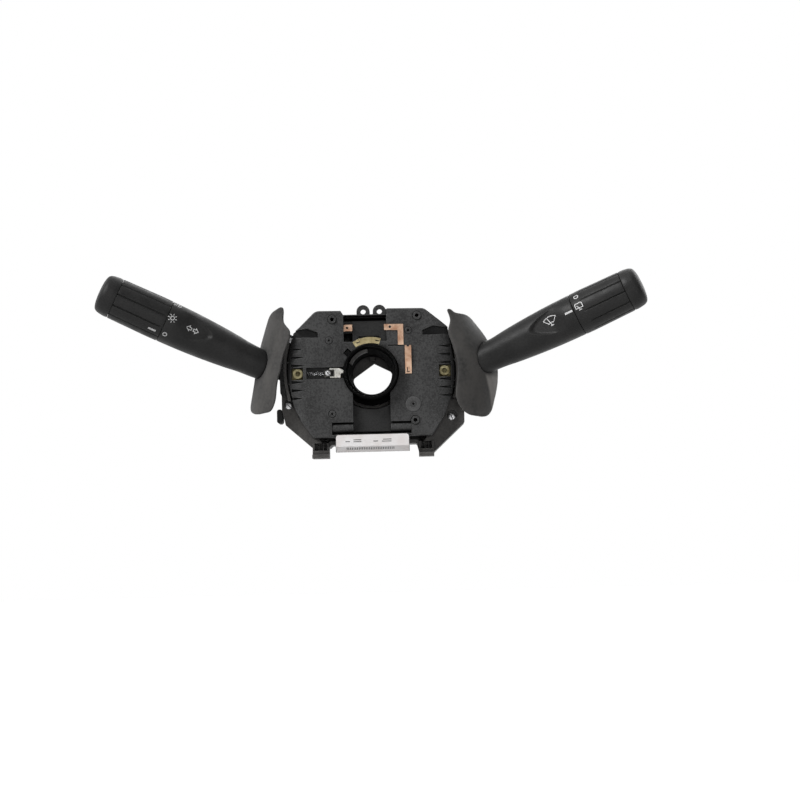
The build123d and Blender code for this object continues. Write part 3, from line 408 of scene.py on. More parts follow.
def smooth_line(points, steps=6):
    """Points along a smooth line through the given ones."""
    ends = [Vector(point) for point in (points[0], *points, points[-1])]
    line = []
    for before, start, end, after in zip(ends, ends[1:], ends[2:], ends[3:]):
        first, second = start + (end - before) / 6, end - (after - start) / 6
        line += interpolate_bezier(start, first, second, end, steps + 1)[:-1]
    return line + [ends[-1]]


def turned(profile, segments=96):
    """A closed skin turned about z from (radius, station) points."""
    bm = bmesh.new()
    points = [bm.verts.new((radius, 0, station)) for radius, station in profile]
    edges = [bm.edges.new(pair) for pair in zip(points, points[1:])]
    bmesh.ops.spin(
        bm, geom=points + edges, axis=(0, 0, 1), cent=(0, 0, 0), angle=tau, steps=segments,
        use_merge=True,
    )
    return tidy(bm)


def tidy(bm):
    """Merge doubles and turn all faces outwards."""
    bmesh.ops.remove_doubles(bm, verts=bm.verts, dist=WELD)
    bmesh.ops.dissolve_degenerate(bm, edges=bm.edges, dist=WELD)
    bmesh.ops.recalc_face_normals(bm, faces=bm.faces)
    return bm


def soften(bm, width, limit=30, segments=3):
    """Round every edge that turns by more than the limit, in degrees."""
    sharp = [edge for edge in bm.edges if edge.is_manifold and edge.calc_face_angle() > radians(limit)]
    bmesh.ops.bevel(
        bm, geom=sharp, offset=width, affect="EDGES", segments=segments, profile=0.5, material=-1,
        clamp_overlap=True,
    )
    return bm


def subdivide_long(bm, limit, passes=3):
    """Cut edges longer than the limit so that a flat shape can follow a curve."""
    for _ in range(passes):
        long_edges = [edge for edge in bm.edges if edge.calc_length() > limit]
        bmesh.ops.subdivide_edges(bm, edges=long_edges, cuts=1, use_grid_fill=True)


def add_block(bm, middle, size):
    """Box with the given middle and size."""
    place = Matrix.Translation(middle) @ Matrix.Diagonal((*size, 1))
    bmesh.ops.create_cube(bm, size=1, matrix=place)


def thicken(bm, height):
    """Extrude a flat shape in the xy plane along z into a closed solid."""
    grown = bmesh.ops.extrude_face_region(bm, geom=bm.faces[:])["geom"]
    raised = [item for item in grown if isinstance(item, bmesh.types.BMVert)]
    bmesh.ops.translate(bm, verts=raised, vec=(0, 0, height))
    bmesh.ops.recalc_face_normals(bm, faces=bm.faces)


def join(bm, other):
    """Add the shapes of another bmesh and free it."""
    mesh = bpy.data.meshes.new("joined")
    other.to_mesh(mesh)
    other.free()
    bm.from_mesh(mesh)
    bpy.data.meshes.remove(mesh)


def add_piece(name, bm, body, finish, place=Matrix(), replaces=(), sharp_at=40, material=None):
    """Turn a bmesh in millimetres into a named piece that rides on a body.

    Edges that turn by more than sharp_at, in degrees, stay sharp.
    """
    bmesh.ops.transform(bm, matrix=TO_METRES @ place, verts=bm.verts)
    if place.determinant() < 0:
        bmesh.ops.reverse_faces(bm, faces=bm.faces)
    for face in bm.faces:
        face.smooth = True
    for edge in bm.edges:
        edge.smooth = not edge.is_manifold or edge.calc_face_angle() < radians(sharp_at)
    mesh = bpy.data.meshes.new(name)
    bm.to_mesh(mesh)
    bm.free()
    mesh.materials.append(material or FINISHES[finish])
    piece = bpy.data.objects.new(name, mesh)
    bpy.context.scene.collection.objects.link(piece)
    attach(piece, body)
    if replaces:
        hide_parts(*replaces)
    return piece


# ---------------------------------------------------------------- levers

JOINTS = {joint["name"]: joint for joint in frame["joints"]}
RING_JOINTS = {"left": "left_light_ring", "right": "right_rear_wiper_ring"}
PULL_JOINTS = {"left": "left_beam_pull", "right": "right_washer_pull"}

# Stations out along a lever from its pivot, and radii of the grip there
BODY_END, KNOB_END, CAP_END = 107.7, 143.4, 154.8
GRIP = (
    (7.0, 32), (9.3, 34.5), (10.1, 40), (10.7, 50), (11.65, 58), (12.4, 66), (13.0, 74),
    (13.5, 82), (14.0, 94), (14.2, 106.6),
)
KNOB_LINE = (
    (13.5, BODY_END + 0.15), (14.15, BODY_END + 0.25), (14.3, BODY_END + 0.6), (14.35, BODY_END + 3),
    (14.4, 114), (14.38, 117), (14.25, 124), (14.1, 133), (13.98, 140.6),
    (13.9, KNOB_END - 0.5), (13.75, KNOB_END - 0.1), (13.2, KNOB_END),
)
GRIP_ROUND = ((14.12, 107.3), (14.0, 107.55), (13.4, BODY_END))  # where the grip meets the ring
GRIP_LINE = [tuple(point) for point in smooth_line(GRIP, 9)] + list(GRIP_ROUND)
CAP_DOME = (
    (13.75, 143.9), (13.85, 146), (13.5, 148.8), (12.9, 151.3), (11.4, 153.2), (8.0, 154.3),
    (3.5, 154.75), (0, CAP_END),
)
CAP_PLUG = (  # the part of the cap inside the ring, and the step at the seam
    (0, 138.4), (11.5, 138.4), (11.5, KNOB_END + 0.1), (13.2, KNOB_END + 0.15), (13.65, KNOB_END + 0.25),
)
EYE_RADIUS, BLADE_WIDTH = 3.9, 8.4
BLADE_DEPTH, BLADE_LENGTH, BLADE_REACH = 7, 24, 14  # BLADE_REACH is from the eye to the middle

FLUTES, LAND_STEPS = 11, 9
FLUTE_DEPTH, FLUTE_HALF = 0.8, 0.65
FLUTE_SHAPE = ((-1, 0.12), (-0.5, 0.85), (0, 1), (0.5, 0.85))  # shares of the half width and the depth
LAND_SINK = 0.12  # share of the flute's depth that a land sinks at its borders
FLUTE_PHASE = {"left": 10.6, "right": -3.2}  # degrees above the front of the lever
FLUTE_START = {"left": BODY_END, "right": 114.5}
FLUTE_FADE = (-1, 2.5)  # the flutes grow to full depth between these, from their start

# Thumb scoop in the front of the grip
SCOOP_TURN = 11.0  # degrees above the front
SCOOP_TIP, SCOOP_HALF, SCOOP_LENGTH = 75.0, 8.4, 16.0
SCOOP_FLOOR, SCOOP_RAMP = 10.8, 3.2
SCOOP_FADE = (88.0, 103.0)


def lever_space(side):
    """Matrix from lever space to the frame: x up across the lever, y to the rear, z out."""
    ring, pull = JOINTS[RING_JOINTS[side]], JOINTS[PULL_JOINTS[side]]
    out = Vector(ring["axis"]).normalized()
    up = Vector(pull["axis"]).normalized()
    up = up if up.z > 0 else -up
    rear = out.cross(up)
    rear = rear if rear.y > 0 else -rear
    turn = Matrix((up, rear, out)).transposed().to_4x4()
    return Matrix.Translation(Vector(ring["pos_m"]) / MM) @ turn


def smooth_step(value, start, end):
    """0 before start, 1 after end and an even rise between them."""
    share = min(max((value - start) / (end - start), 0), 1)
    return share * share * (3 - 2 * share)


def scoop(point):
    """Move a point of the round grip down into the thumb scoop."""
    turn = radians(SCOOP_TURN)
    front, across = Vector((sin(turn), -cos(turn), 0)), Vector((cos(turn), sin(turn), 0))
    height, aside = point.dot(front), point.dot(across)
    if height < SCOOP_FLOOR:
        return point
    inside = point.z - SCOOP_TIP - SCOOP_LENGTH * (aside / SCOOP_HALF) ** 2
    share = smooth_step(inside, 0, SCOOP_RAMP) * (1 - smooth_step(point.z, *SCOOP_FADE))
    return point - front * (height - SCOOP_FLOOR) * share


def grip_skin():
    """Long tapering grip with its thumb scoop and a small round at the knob end."""
    bm = turned([(0, GRIP[0][1]), *GRIP_LINE, (0, BODY_END)], 160)
    for vert in bm.verts:
        vert.co = scoop(vert.co)
    return bm


def pivot_blade():
    """Flat blade with its pivot eye at the root of the lever."""
    pull, ring = (Vector(JOINTS[name]["pos_m"]) for name in ("left_beam_pull", "left_light_ring"))
    arm = (pull - ring).length / MM
    bm = bmesh.new()
    bmesh.ops.create_cone(
        bm, cap_ends=True, segments=48, radius1=EYE_RADIUS, radius2=EYE_RADIUS, depth=BLADE_WIDTH,
        matrix=Matrix.Translation((0, 0, arm)) @ Matrix.Rotation(pi / 2, 4, "Y"),
    )
    add_block(bm, (0, 0, arm + BLADE_REACH), (BLADE_WIDTH, BLADE_DEPTH, BLADE_LENGTH))
    return soften(bm, 0.4)


def fluted_knob(side):
    """Rotary ring with long shallow flutes between flattened lands."""
    fade = [FLUTE_START[side] + station for station in FLUTE_FADE]
    bm = bmesh.new()
    rings = []
    for radius, station in KNOB_LINE:
        depth = FLUTE_DEPTH * smooth_step(station, *fade)
        verts = [bm.verts.new(point) for point in fluted_ring(radius, station, depth, FLUTE_PHASE[side])]
        rings.append([bm.edges.new(pair) for pair in zip(verts, verts[1:] + verts[:1])])
    for lower, upper in zip(rings, rings[1:]):
        bmesh.ops.bridge_loops(bm, edges=lower + upper)
    bmesh.ops.holes_fill(bm, edges=rings[0] + rings[-1], sides=0)
    return tidy(bm)


def fluted_ring(radius, station, depth, phase):
    """One ring of the knob: flattened lands with a narrow flute between each pair."""
    pitch = tau / FLUTES
    half_flute = FLUTE_HALF / radius
    points = []
    for flute in range(FLUTES):
        start = radians(phase) + flute * pitch
        for aside, sink in FLUTE_SHAPE:
            points.append((start + half_flute * aside, radius - depth * sink))
        for step in range(LAND_STEPS):
            share = step / LAND_STEPS
            angle = half_flute + (pitch - 2 * half_flute) * share
            crown = 4 * share * (1 - share)
            points.append((start + angle, radius - depth * LAND_SINK * (1 - crown)))
    return [(sin(angle) * r, -cos(angle) * r, station) for angle, r in points]


def domed_cap():
    """Cap that closes the knob with a softly domed end."""
    return turned([*CAP_PLUG, *smooth_line(CAP_DOME)])


def make_levers():
    """Grip with its blade, and rotary ring with its cap, on both sides."""
    for side in SIDES:
        place = lever_space(side)
        lever, knob = f"{side}_lever", f"{side}_knob"
        add_piece(f"{side}_grip", grip_skin(), lever, "lever_grip", place, [f"{side}_lever_tube"])
        add_piece(f"{side}_pivot_blade", pivot_blade(), lever, "lever_grip", place)
        add_piece(f"{side}_fluted_knob", fluted_knob(side), knob, "lever_grip", place, [f"{side}_knob"])
        add_piece(f"{side}_domed_cap", domed_cap(), knob, "lever_grip", place, [f"{side}_end_cap"])


# ---------------------------------------------------------------- printed marks

# Marks are drawn flat: u runs in reading direction and v up, both in mm from the middle

STROKE, FINE_STROKE = 0.55, 0.5
PAINT, PAINT_SUNK = 0.14, 0.05  # thickness of the print, and how much of it lies below the skin
PAINT_MESH = 0.9  # longest edge, so that print follows the curve of the lever


def arc(radius, start, end, steps, centre=(0, 0)):
    """Points along an arc, with its angles in degrees."""
    angles = [radians(start + (end - start) * step / steps) for step in range(steps + 1)]
    return [(centre[0] + radius * cos(angle), centre[1] + radius * sin(angle)) for angle in angles]


def outline_mark(bm, points, width=STROKE):
    """Closed line along a drawn outline."""
    face = bm.faces.new([bm.verts.new((u, v, 0)) for u, v in points])
    face.normal_update()
    bmesh.ops.inset_region(bm, faces=[face], thickness=width, use_even_offset=True, use_boundary=True)
    bmesh.ops.delete(bm, geom=[face], context="FACES")


def bar_mark(bm, start, end, width=STROKE):
    """Straight stroke between two points."""
    start, end = Vector((*start, 0)), Vector((*end, 0))
    turn = (end - start).to_track_quat("X", "Z").to_matrix().to_4x4()
    size = Matrix.Diagonal(((end - start).length, width, 1, 1))
    place = Matrix.Translation((start + end) / 2) @ turn @ size
    bmesh.ops.create_grid(bm, x_segments=4, y_segments=1, size=0.5, matrix=place)


def ring_mark(bm, radius, width=0.65):
    """Open ring, the sign for off."""
    outline_mark(bm, arc(radius, 0, 345, 23), width)


def lamp_mark(bm):
    """Small lamp with eight rays."""
    ring_mark(bm, 1.5, FINE_STROKE)
    for ray in range(8):
        bar_mark(bm, *(arc(radius, ray * 45, 0, 1)[0] for radius in (2.05, 3.1)), FINE_STROKE)


def headlamp_mark(bm):
    """D-shaped lamp with three beams."""
    outline_mark(bm, [(0.2, 1.9), (0.2, -1.9), *arc(1.9, -75, 75, 8, (0.7, 0))])
    for row in (-1.2, 0, 1.2):
        bar_mark(bm, (-2.9, row - 0.5), (-0.5, row), FINE_STROKE)


def turn_mark(bm):
    """Two outlined arrows that point away from each other."""
    arrow = [(0.5, 1.0), (2.0, 1.0), (2.0, 2.3), (4.5, 0), (2.0, -2.3), (2.0, -1.0), (0.5, -1.0)]
    outline_mark(bm, arrow[::-1], 0.45)
    outline_mark(bm, [(-u, v) for u, v in arrow], 0.45)


def front_wiper_mark(bm):
    """Windscreen with its wiper."""
    pivot = (0.3, -4.0)
    outline_mark(bm, arc(7.4, 132, 50, 8, pivot) + arc(2.7, 50, 132, 5, pivot), FINE_STROKE)
    bar_mark(bm, (0.4, -3.0), (-1.5, 2.4), FINE_STROKE)
    bar_mark(bm, (-0.8, -3.2), (1.6, -3.2), FINE_STROKE)


def rear_wiper_mark(bm):
    """Rear window with its wiper."""
    outline_mark(bm, [(-2.7, -1.3), (2.7, -1.3), (2.7, 1.9), (2.0, 2.6), (-2.0, 2.6), (-2.7, 1.9)])
    bar_mark(bm, (0.2, -2.0), (-1.4, 1.0), FINE_STROKE)
    bar_mark(bm, (-0.9, -2.4), (1.3, -2.4), FINE_STROKE)


def marker_bar(bm):
    """Pointer that the ring is set against."""
    bar_mark(bm, (-2.7, 0), (2.7, 0), 1.35)


MARKS = (  # side, part of the lever, station, degrees above the front, drawing
    ("left", "knob", 113.6, -39, marker_bar),
    ("left", "grip", 104.6, -37, lambda bm: ring_mark(bm, 1.6)),
    ("left", "grip", 104.4, 13, lamp_mark),
    ("left", "grip", 104.2, 65, headlamp_mark),
    ("left", "grip", 89.2, 10, turn_mark),
    ("right", "knob", 112.4, 45, lambda bm: ring_mark(bm, 1.7)),
    ("right", "knob", 112.0, 13.6, rear_wiper_mark),
    ("right", "grip", 104.2, 11, marker_bar),
    ("right", "grip", 90.4, 15, front_wiper_mark),
)


def radius_at(profile, station):
    """Radius of a turned profile at a station."""
    for (low_radius, low), (high_radius, high) in zip(profile, profile[1:]):
        if low <= station <= high:
            return low_radius + (high_radius - low_radius) * (station - low) / (high - low)
    return profile[-1][0]


def wrap(bm, side, part, station, turn):
    """Give a flat mark the thickness of paint and lay it on the lever."""
    subdivide_long(bm, PAINT_MESH)
    thicken(bm, PAINT)
    outward = 1 if side == "right" else -1  # reading direction along the lever
    profile = GRIP_LINE if part == "grip" else KNOB_LINE
    for vert in bm.verts:
        reach = station + outward * vert.co.x
        radius = radius_at(profile, reach)
        angle = radians(turn) + vert.co.y / radius
        outwards = Vector((sin(angle), -cos(angle), 0))
        skin = outwards * radius + Vector((0, 0, reach))
        vert.co = (scoop(skin) if part == "grip" else skin) + outwards * (vert.co.z - PAINT_SUNK)
    bmesh.ops.recalc_face_normals(bm, faces=bm.faces)


def make_marks():
    """One piece of print on each grip and on each ring."""
    for side in SIDES:
        place = lever_space(side)
        for part, body in (("grip", f"{side}_lever"), ("knob", f"{side}_knob")):
            marks = bmesh.new()
            for mark_side, mark_part, station, turn, draw in MARKS:
                if (mark_side, mark_part) == (side, part):
                    mark = bmesh.new()
                    draw(mark)
                    wrap(mark, side, part, station, turn)
                    join(marks, mark)
            add_piece(f"{side}_{part}_print", marks, body, "lever_grip", place, material=WHITE_PRINT)


# ---------------------------------------------------------------- guards

RIM_GROWTH, GUARD_MESH, GUARD_SMOOTHING = 0.5, 0.4, 16  # mm, mm and passes
BRIM_CREASE = ((76.0, -1.3), (78.7, -13.3), (80.0, -24.0))  # x and height of the right guard's fold
BRIM_LIFT, BRIM_MOST = 0.8, 3.2  # mm towards the front for each mm past the fold, and the most
BRIM_STARTS, BRIM_ENDS = (-2.0, -8.0), (-24.0, -34.0)  # heights over which the lift grows and fades
BRIM_LIGHT_ACROSS, BRIM_LIGHT_BELOW = (-0.6, 1.4), (0, 5)  # where the painted light on the brim grows, past the fold and down
NO_SHARP_EDGE = 180


def copy_of_node(name):
    """Welded copy of a node's mesh in millimetres, in the frame's own space."""
    node = frame["nodes"][name]
    bm = bmesh.new()
    bm.from_mesh(node.data)
    bmesh.ops.transform(bm, matrix=TO_METRES.inverted() @ node.matrix_world, verts=bm.verts)
    bmesh.ops.remove_doubles(bm, verts=bm.verts, dist=2 * WELD)
    return bm


def remeshed(bm, voxel):
    """The same solid with an even mesh, so that its edges can be rounded."""
    mesh = bpy.data.meshes.new("coarse")
    bm.to_mesh(mesh)
    bm.free()
    coarse = bpy.data.objects.new("coarse", mesh)
    bpy.context.scene.collection.objects.link(coarse)
    remesh = coarse.modifiers.new("remesh", "REMESH")
    remesh.mode = "VOXEL"
    remesh.voxel_size = voxel
    even = coarse.evaluated_get(bpy.context.evaluated_depsgraph_get()).to_mesh()
    fine = bmesh.new()
    fine.from_mesh(even)
    bpy.data.objects.remove(coarse)
    bpy.data.meshes.remove(mesh)
    return fine


def lift_brim(bm):
    """Fold the outer brim of the right guard towards the front and mark where it is painted lighter as if lit."""
    shade = bm.verts.layers.float.new(BRIM_LIGHT_LAYER)
    for vert in bm.verts:
        x, height = vert.co.x, vert.co.z
        fold = BRIM_CREASE[-1][0]
        for (upper_x, upper), (lower_x, lower) in zip(BRIM_CREASE, BRIM_CREASE[1:]):
            if lower <= height <= upper:
                fold = upper_x + (lower_x - upper_x) * (upper - height) / (upper - lower)
        share = smooth_step(-height, -BRIM_STARTS[0], -BRIM_STARTS[1])
        share *= 1 - smooth_step(-height, -BRIM_ENDS[0], -BRIM_ENDS[1])
        vert.co.y -= min(max(x - fold, 0) * BRIM_LIFT, BRIM_MOST) * share
        across = smooth_step(x - fold, *BRIM_LIGHT_ACROSS)
        vert[shade] = across * smooth_step(-height, *BRIM_LIGHT_BELOW)


def guard(side):
    """Lever guard with soft rounded rims."""
    bm = copy_of_node(f"{side}_shield")
    bm.normal_update()
    for vert in bm.verts:
        vert.co += vert.normal * RIM_GROWTH
    bm = remeshed(bm, GUARD_MESH)
    if side == "right":
        lift_brim(bm)
    for _ in range(GUARD_SMOOTHING):
        bmesh.ops.smooth_vert(
            bm, verts=bm.verts, factor=0.5, use_axis_x=True, use_axis_y=True, use_axis_z=True)
    return bm


def make_guards():
    """Both guards, each on its own lever."""
    for side in SIDES:
        add_piece(
            f"{side}_guard", guard(side), f"{side}_lever", "shield_skin",
            replaces=[f"{side}_shield"], sharp_at=NO_SHARP_EDGE)


# ---------------------------------------------------------------- label

LABEL_HALF, LABEL_TOP, LABEL_FOLD, LABEL_BOTTOM = 24.2, -41.7, -49.4, -53.0
LABEL_FACE, LABEL_SETBACK = 51.6, 2.6
FLAP_HEIGHT = LABEL_FOLD - LABEL_BOTTOM  # seen from the front
FLAP_LENGTH = (LABEL_SETBACK**2 + FLAP_HEIGHT**2) ** 0.5  # along the sheet
SHEET, INK, INK_SUNK = 0.3, 0.04, 0.01
LABEL_CORNERS = (0.4, 0.4, 1.9, 1.9)  # radii: bottom left, bottom right, top right, top left
LABEL_LINES = (  # left, right and height above the fold
    (-18.0, -15.0, 3.2), (-12.6, -7.4, 4.3), (-12.6, -7.4, 3.0),
    (0.6, 3.6, 3.2), (7.0, 12.6, 4.3), (6.2, 12.6, 3.0),
)
LINE_WIDTH, TICK_WIDTH = 0.6, 0.55
TICK_START, TICK_END, TICK_PITCH = -17.0, 14.5, 1.15
TICK_TOP, TICK_FOOT = -0.9, -2.7


def rounded_rectangle(left, right, bottom, top, radii, steps=6):
    """Corner points in order: bottom left, bottom right, top right, top left."""
    corners = ((left, bottom, 180), (right, bottom, 270), (right, top, 0), (left, top, 90))
    points = []
    for (x, y, start), radius in zip(corners, radii):
        centre = (x + (radius if x == left else -radius), y + (radius if y == bottom else -radius))
        points += arc(radius, start, start + 90, steps, centre) if radius else [(x, y)]
    return points


def folded(bm, height):
    """Bend a flat sheet back along the fold of the label; local y starts at the fold."""
    for vert in bm.verts:
        down = max(-vert.co.y, 0)
        if down:
            vert.co.y = -down * FLAP_HEIGHT / FLAP_LENGTH
            vert.co.z -= down * LABEL_SETBACK / FLAP_LENGTH
    return Matrix.Translation((0, LABEL_FOLD, LABEL_FACE + height))


def sheet_piece(bm, thickness, height):
    """Cut a flat drawing at the fold, thicken it and fold it."""
    whole = bm.verts[:] + bm.edges[:] + bm.faces[:]
    bmesh.ops.bisect_plane(bm, geom=whole, dist=CUT, plane_co=(0, 0, 0), plane_no=(0, 1, 0))
    thicken(bm, thickness)
    return folded(bm, height)


def make_label():
    """White sheet with rounded upper corners, ruled lines and a row of ticks."""
    sheet = bmesh.new()
    corners = rounded_rectangle(
        -LABEL_HALF, LABEL_HALF, -FLAP_LENGTH, LABEL_TOP - LABEL_FOLD, LABEL_CORNERS)
    sheet.faces.new([sheet.verts.new((x, y, 0)) for x, y in corners])
    place = FACE_VIEW @ sheet_piece(sheet, SHEET, 0)
    add_piece("label_sheet", sheet, "housing", "label_sheet", place, ["label"], sharp_at=20)
    ink = bmesh.new()
    for left, right, height in LABEL_LINES:
        bar_mark(ink, (left, height), (right, height), LINE_WIDTH)
    tick = TICK_START
    while tick < TICK_END:
        bar_mark(ink, (tick, TICK_TOP), (tick, TICK_FOOT), TICK_WIDTH)
        tick += TICK_PITCH
    place = FACE_VIEW @ sheet_piece(ink, INK, SHEET - INK_SUNK)
    add_piece("label_print", ink, "housing", "label_sheet", place, material=GREY_PRINT)


# ---------------------------------------------------------------- hub

HUB_LINE = (  # radius and depth, from the tail forward over the lip and back through the bore
    (16.5, 20), (16.5, 31.3), (18, 31.3), (18, 32.5), (21, 32.5), (21, 35), (18, 35), (18, 45.5),
    (16, 45.5), (16, 49.5), (18, 49.5), (18, 56.7), (17.9, 57.4), (17.65, 57.9), (17.4, 58),
    (17.1, 57.8), (16.9, 57.2), (16.4, 50.6), (15.4, 50.0), (15.2, 49.4), (14.9, 36), (13.6, 33),
    (13.6, 20), (16.5, 20),
)
KEY_BAND = (  # radius and depth round the raised band inside the bore; its light colour is a painted highlight
    (16.2, 42), (16.2, 50.2), (15.4, 51.6), (14.3, 51.2), (13.9, 50.4), (13.9, 42), (16.2, 42),
)
KEY_BAND_TURN = (98, 157)  # degrees from the right, counted upwards


def ring_sector(profile, turns, steps=24):
    """A closed profile of radius and depth swept between two angles."""
    bm = bmesh.new()
    start, end = (radians(turn) for turn in turns)
    across, up = cos(start), sin(start)
    points = [bm.verts.new((radius * across, radius * up, depth)) for radius, depth in profile[:-1]]
    face = bm.faces.new(points)
    bmesh.ops.spin(
        bm, geom=[face, *face.edges, *points], axis=(0, 0, 1), cent=(0, 0, 0), angle=end - start,
        steps=steps, use_merge=False,
    )
    return tidy(bm)


def make_hub():
    """Hub that turns with the steering wheel, with the raised band in its bore, coloured light as a painted
    highlight.
    """
    sleeve = turned(HUB_LINE, 144)
    add_piece("hub_sleeve", sleeve, "hub", "hub_moulding", FACE_VIEW, ["hub_rotor"], sharp_at=35)
    # the band's light colour is a painted highlight on the bore's glossy wall
    band = ring_sector(KEY_BAND, KEY_BAND_TURN)
    add_piece("hub_lit_key_band", band, "hub", "base_moulding", FACE_VIEW, sharp_at=35)


# ---------------------------------------------------------------- screws and spring

FLANGE_SCREW_PLACES = ((-56.2, -20.3, 50), (53.1, -30.3, 20))  # x, height and turn of the slot
PAWL_SCREW_PLACE = (-28.8, 0.0, 40)
# Radii of the head and the shank, depths of the shank's end, the head's seat and top, slot width
FLANGE_SCREW = (2.4, 1.5, (27, 36.9, 38.9), 0.7)
PAWL_SCREW = (1.95, 1.2, (43, 47.6, 49.3), 0.6)
DOME = ((1, 0), (1, 0.35), (0.86, 0.75), (0.6, 1), (0, 1))  # shares of a head's radius and height
SLOT_FLOOR = 0.4  # share of the head's height
HEAD_OVERLAP = 0.02

PAWL_ARMS = ((-27.8, -24.2, 2.3, 3.3), (-27.4, -24.2, -3.2, -2.3))  # left, right, bottom and top
ARM_DEPTH, ARM_THICKNESS = 48.2, 2.2
SPRING_LEFT, SPRING_RIGHT, SPRING_DEPTH = -42.6, -31.2, 47.4
COIL_RADIUS, WIRE_RADIUS, COIL_TURNS, COIL_STEPS = 1.2, 0.24, 8, 18

BOSS_RING = ((2.3, 0), (5.0, 0), (5.0, 0.072), (4.8, 0.12), (2.3, 0.12), (2.3, 0))
BOSS_RING_PLACE = (27.7, -22.0, 50.24)


def half_dome(radius, height, slot):
    """One half of a domed head, on one side of its driver slot."""
    bm = turned([(0, 0), *((radius * wide, height * high) for wide, high in DOME)], 40)
    whole = bm.verts[:] + bm.edges[:] + bm.faces[:]
    bmesh.ops.bisect_plane(
        bm, geom=whole, dist=CUT, plane_co=(slot / 2, 0, 0), plane_no=(1, 0, 0), clear_inner=True)
    bmesh.ops.holes_fill(bm, edges=[edge for edge in bm.edges if edge.is_boundary], sides=0)
    return tidy(bm)


def slotted_screw(kind, place):
    """Screw with a domed, slotted head."""
    head_radius, shank_radius, (end, seat, top), slot = kind
    x, height, turn = place
    slot_floor = seat + (top - seat) * SLOT_FLOOR
    bm = turned(
        [(0, end), (shank_radius, end), (shank_radius, seat), (head_radius, seat),
         (head_radius, slot_floor), (0, slot_floor)], 40)
    for side in (0, 180):
        half = half_dome(head_radius, top - slot_floor + HEAD_OVERLAP, slot)
        rise = Matrix.Translation((0, 0, slot_floor - HEAD_OVERLAP))
        spun = rise @ Matrix.Rotation(radians(turn + side), 4, "Z")
        bmesh.ops.transform(half, matrix=spun, verts=half.verts)
        join(bm, half)
    bmesh.ops.translate(bm, verts=bm.verts, vec=(x, height, 0))
    return bm


def make_screws():
    """Slotted screws in the lower flanges and on the pawl."""
    flanges = bmesh.new()
    for place in FLANGE_SCREW_PLACES:
        join(flanges, slotted_screw(FLANGE_SCREW, place))
    add_piece(
        "flange_screw_heads", flanges, "housing", "bright_steel", FACE_VIEW, ["base_screws"],
        material=ZINC_PLATE)
    shoulder = slotted_screw(PAWL_SCREW, PAWL_SCREW_PLACE)
    add_piece(
        "pawl_shoulder_screw", shoulder, "housing", "bright_steel", FACE_VIEW, ["pawl_screw"],
        material=ZINC_PLATE)


def make_pawl_fork():
    """Two arms that reach from the pawl towards the hub."""
    fork = bmesh.new()
    for left, right, bottom, top in PAWL_ARMS:
        arm = bmesh.new()
        middle = ((left + right) / 2, (bottom + top) / 2, ARM_DEPTH)
        add_block(arm, middle, (right - left, top - bottom, ARM_THICKNESS))
        join(fork, soften(arm, 0.2))
    add_piece("pawl_fork", fork, "cancel_pawl", "acetal", FACE_VIEW)


def coil_spring():
    """Wire coil along x with open turns."""
    bm = bmesh.new()
    length = SPRING_RIGHT - SPRING_LEFT - 2 * WIRE_RADIUS
    wire = bmesh.ops.create_circle(bm, cap_ends=True, radius=WIRE_RADIUS, segments=8)["verts"]
    start = Matrix.Translation((SPRING_LEFT + WIRE_RADIUS, COIL_RADIUS, 0))
    upright = Matrix.Rotation(pi / 2, 4, "X")
    bmesh.ops.transform(bm, matrix=start @ upright, verts=wire)
    steps = COIL_TURNS * COIL_STEPS
    face = next(iter(bm.faces))
    bmesh.ops.spin(
        bm, geom=[face, *face.edges, *face.verts], axis=(1, 0, 0), cent=(0, 0, 0),
        dvec=(length / steps, 0, 0), angle=tau * COIL_TURNS, steps=steps, use_merge=False,
    )
    return tidy(bm)


def make_pawl_spring():
    """Coil behind the pawl, which the pawl is pushed back against."""
    place = FACE_VIEW @ Matrix.Translation((0, 0, SPRING_DEPTH))
    spring = add_piece(
        "pawl_coil_spring", coil_spring(), "housing", "bright_steel", place, ["pawl_spring"],
        sharp_at=60)
    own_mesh(spring)


def make_boss_ring():
    """Thin rubbed ring round the low boss beside the column."""
    place = FACE_VIEW @ Matrix.Translation(BOSS_RING_PLACE)
    add_piece(
        "worn_ring", turned(BOSS_RING, 64), "housing", "black_moulding", place,
        material=RUBBED_MOULDING)


# ---------------------------------------------------------------- ledge beside the left guard

LEDGE_OUTLINE = (  # x and height
    (-57.4, 20.0), (-59.0, 19.4), (-60.6, 12.0), (-61.4, 4.0), (-61.6, -4.0), (-61.4, -12.0),
    (-60.2, -14.6), (-57.6, -14.6),
)
LEDGE_BACK, LEDGE_FRONT = 40.4, 43.4
RIBS, RIB_TOP, RIB_PITCH = 9, 17.0, 3.1
RIB_X, RIB_RISE, RIB_SIZE = -59.6, 3.2, (2.6, 0.7, 1.2)  # RIB_RISE is above the ledge's back


def make_ledge():
    """Ledge with short ribs that closes the gap between the rim and the left guard."""
    bm = bmesh.new()
    bm.faces.new([bm.verts.new((x, height, 0)) for x, height in LEDGE_OUTLINE])
    thicken(bm, LEDGE_FRONT - LEDGE_BACK)
    soften(bm, 0.4)
    for rib in range(RIBS):
        add_block(bm, (RIB_X, RIB_TOP - rib * RIB_PITCH, RIB_RISE), RIB_SIZE)
    place = FACE_VIEW @ Matrix.Translation((0, 0, LEDGE_BACK))
    add_piece("left_ribbed_ledge", bm, "housing", "buffer_rubber", place)


# ---------------------------------------------------------------- studio

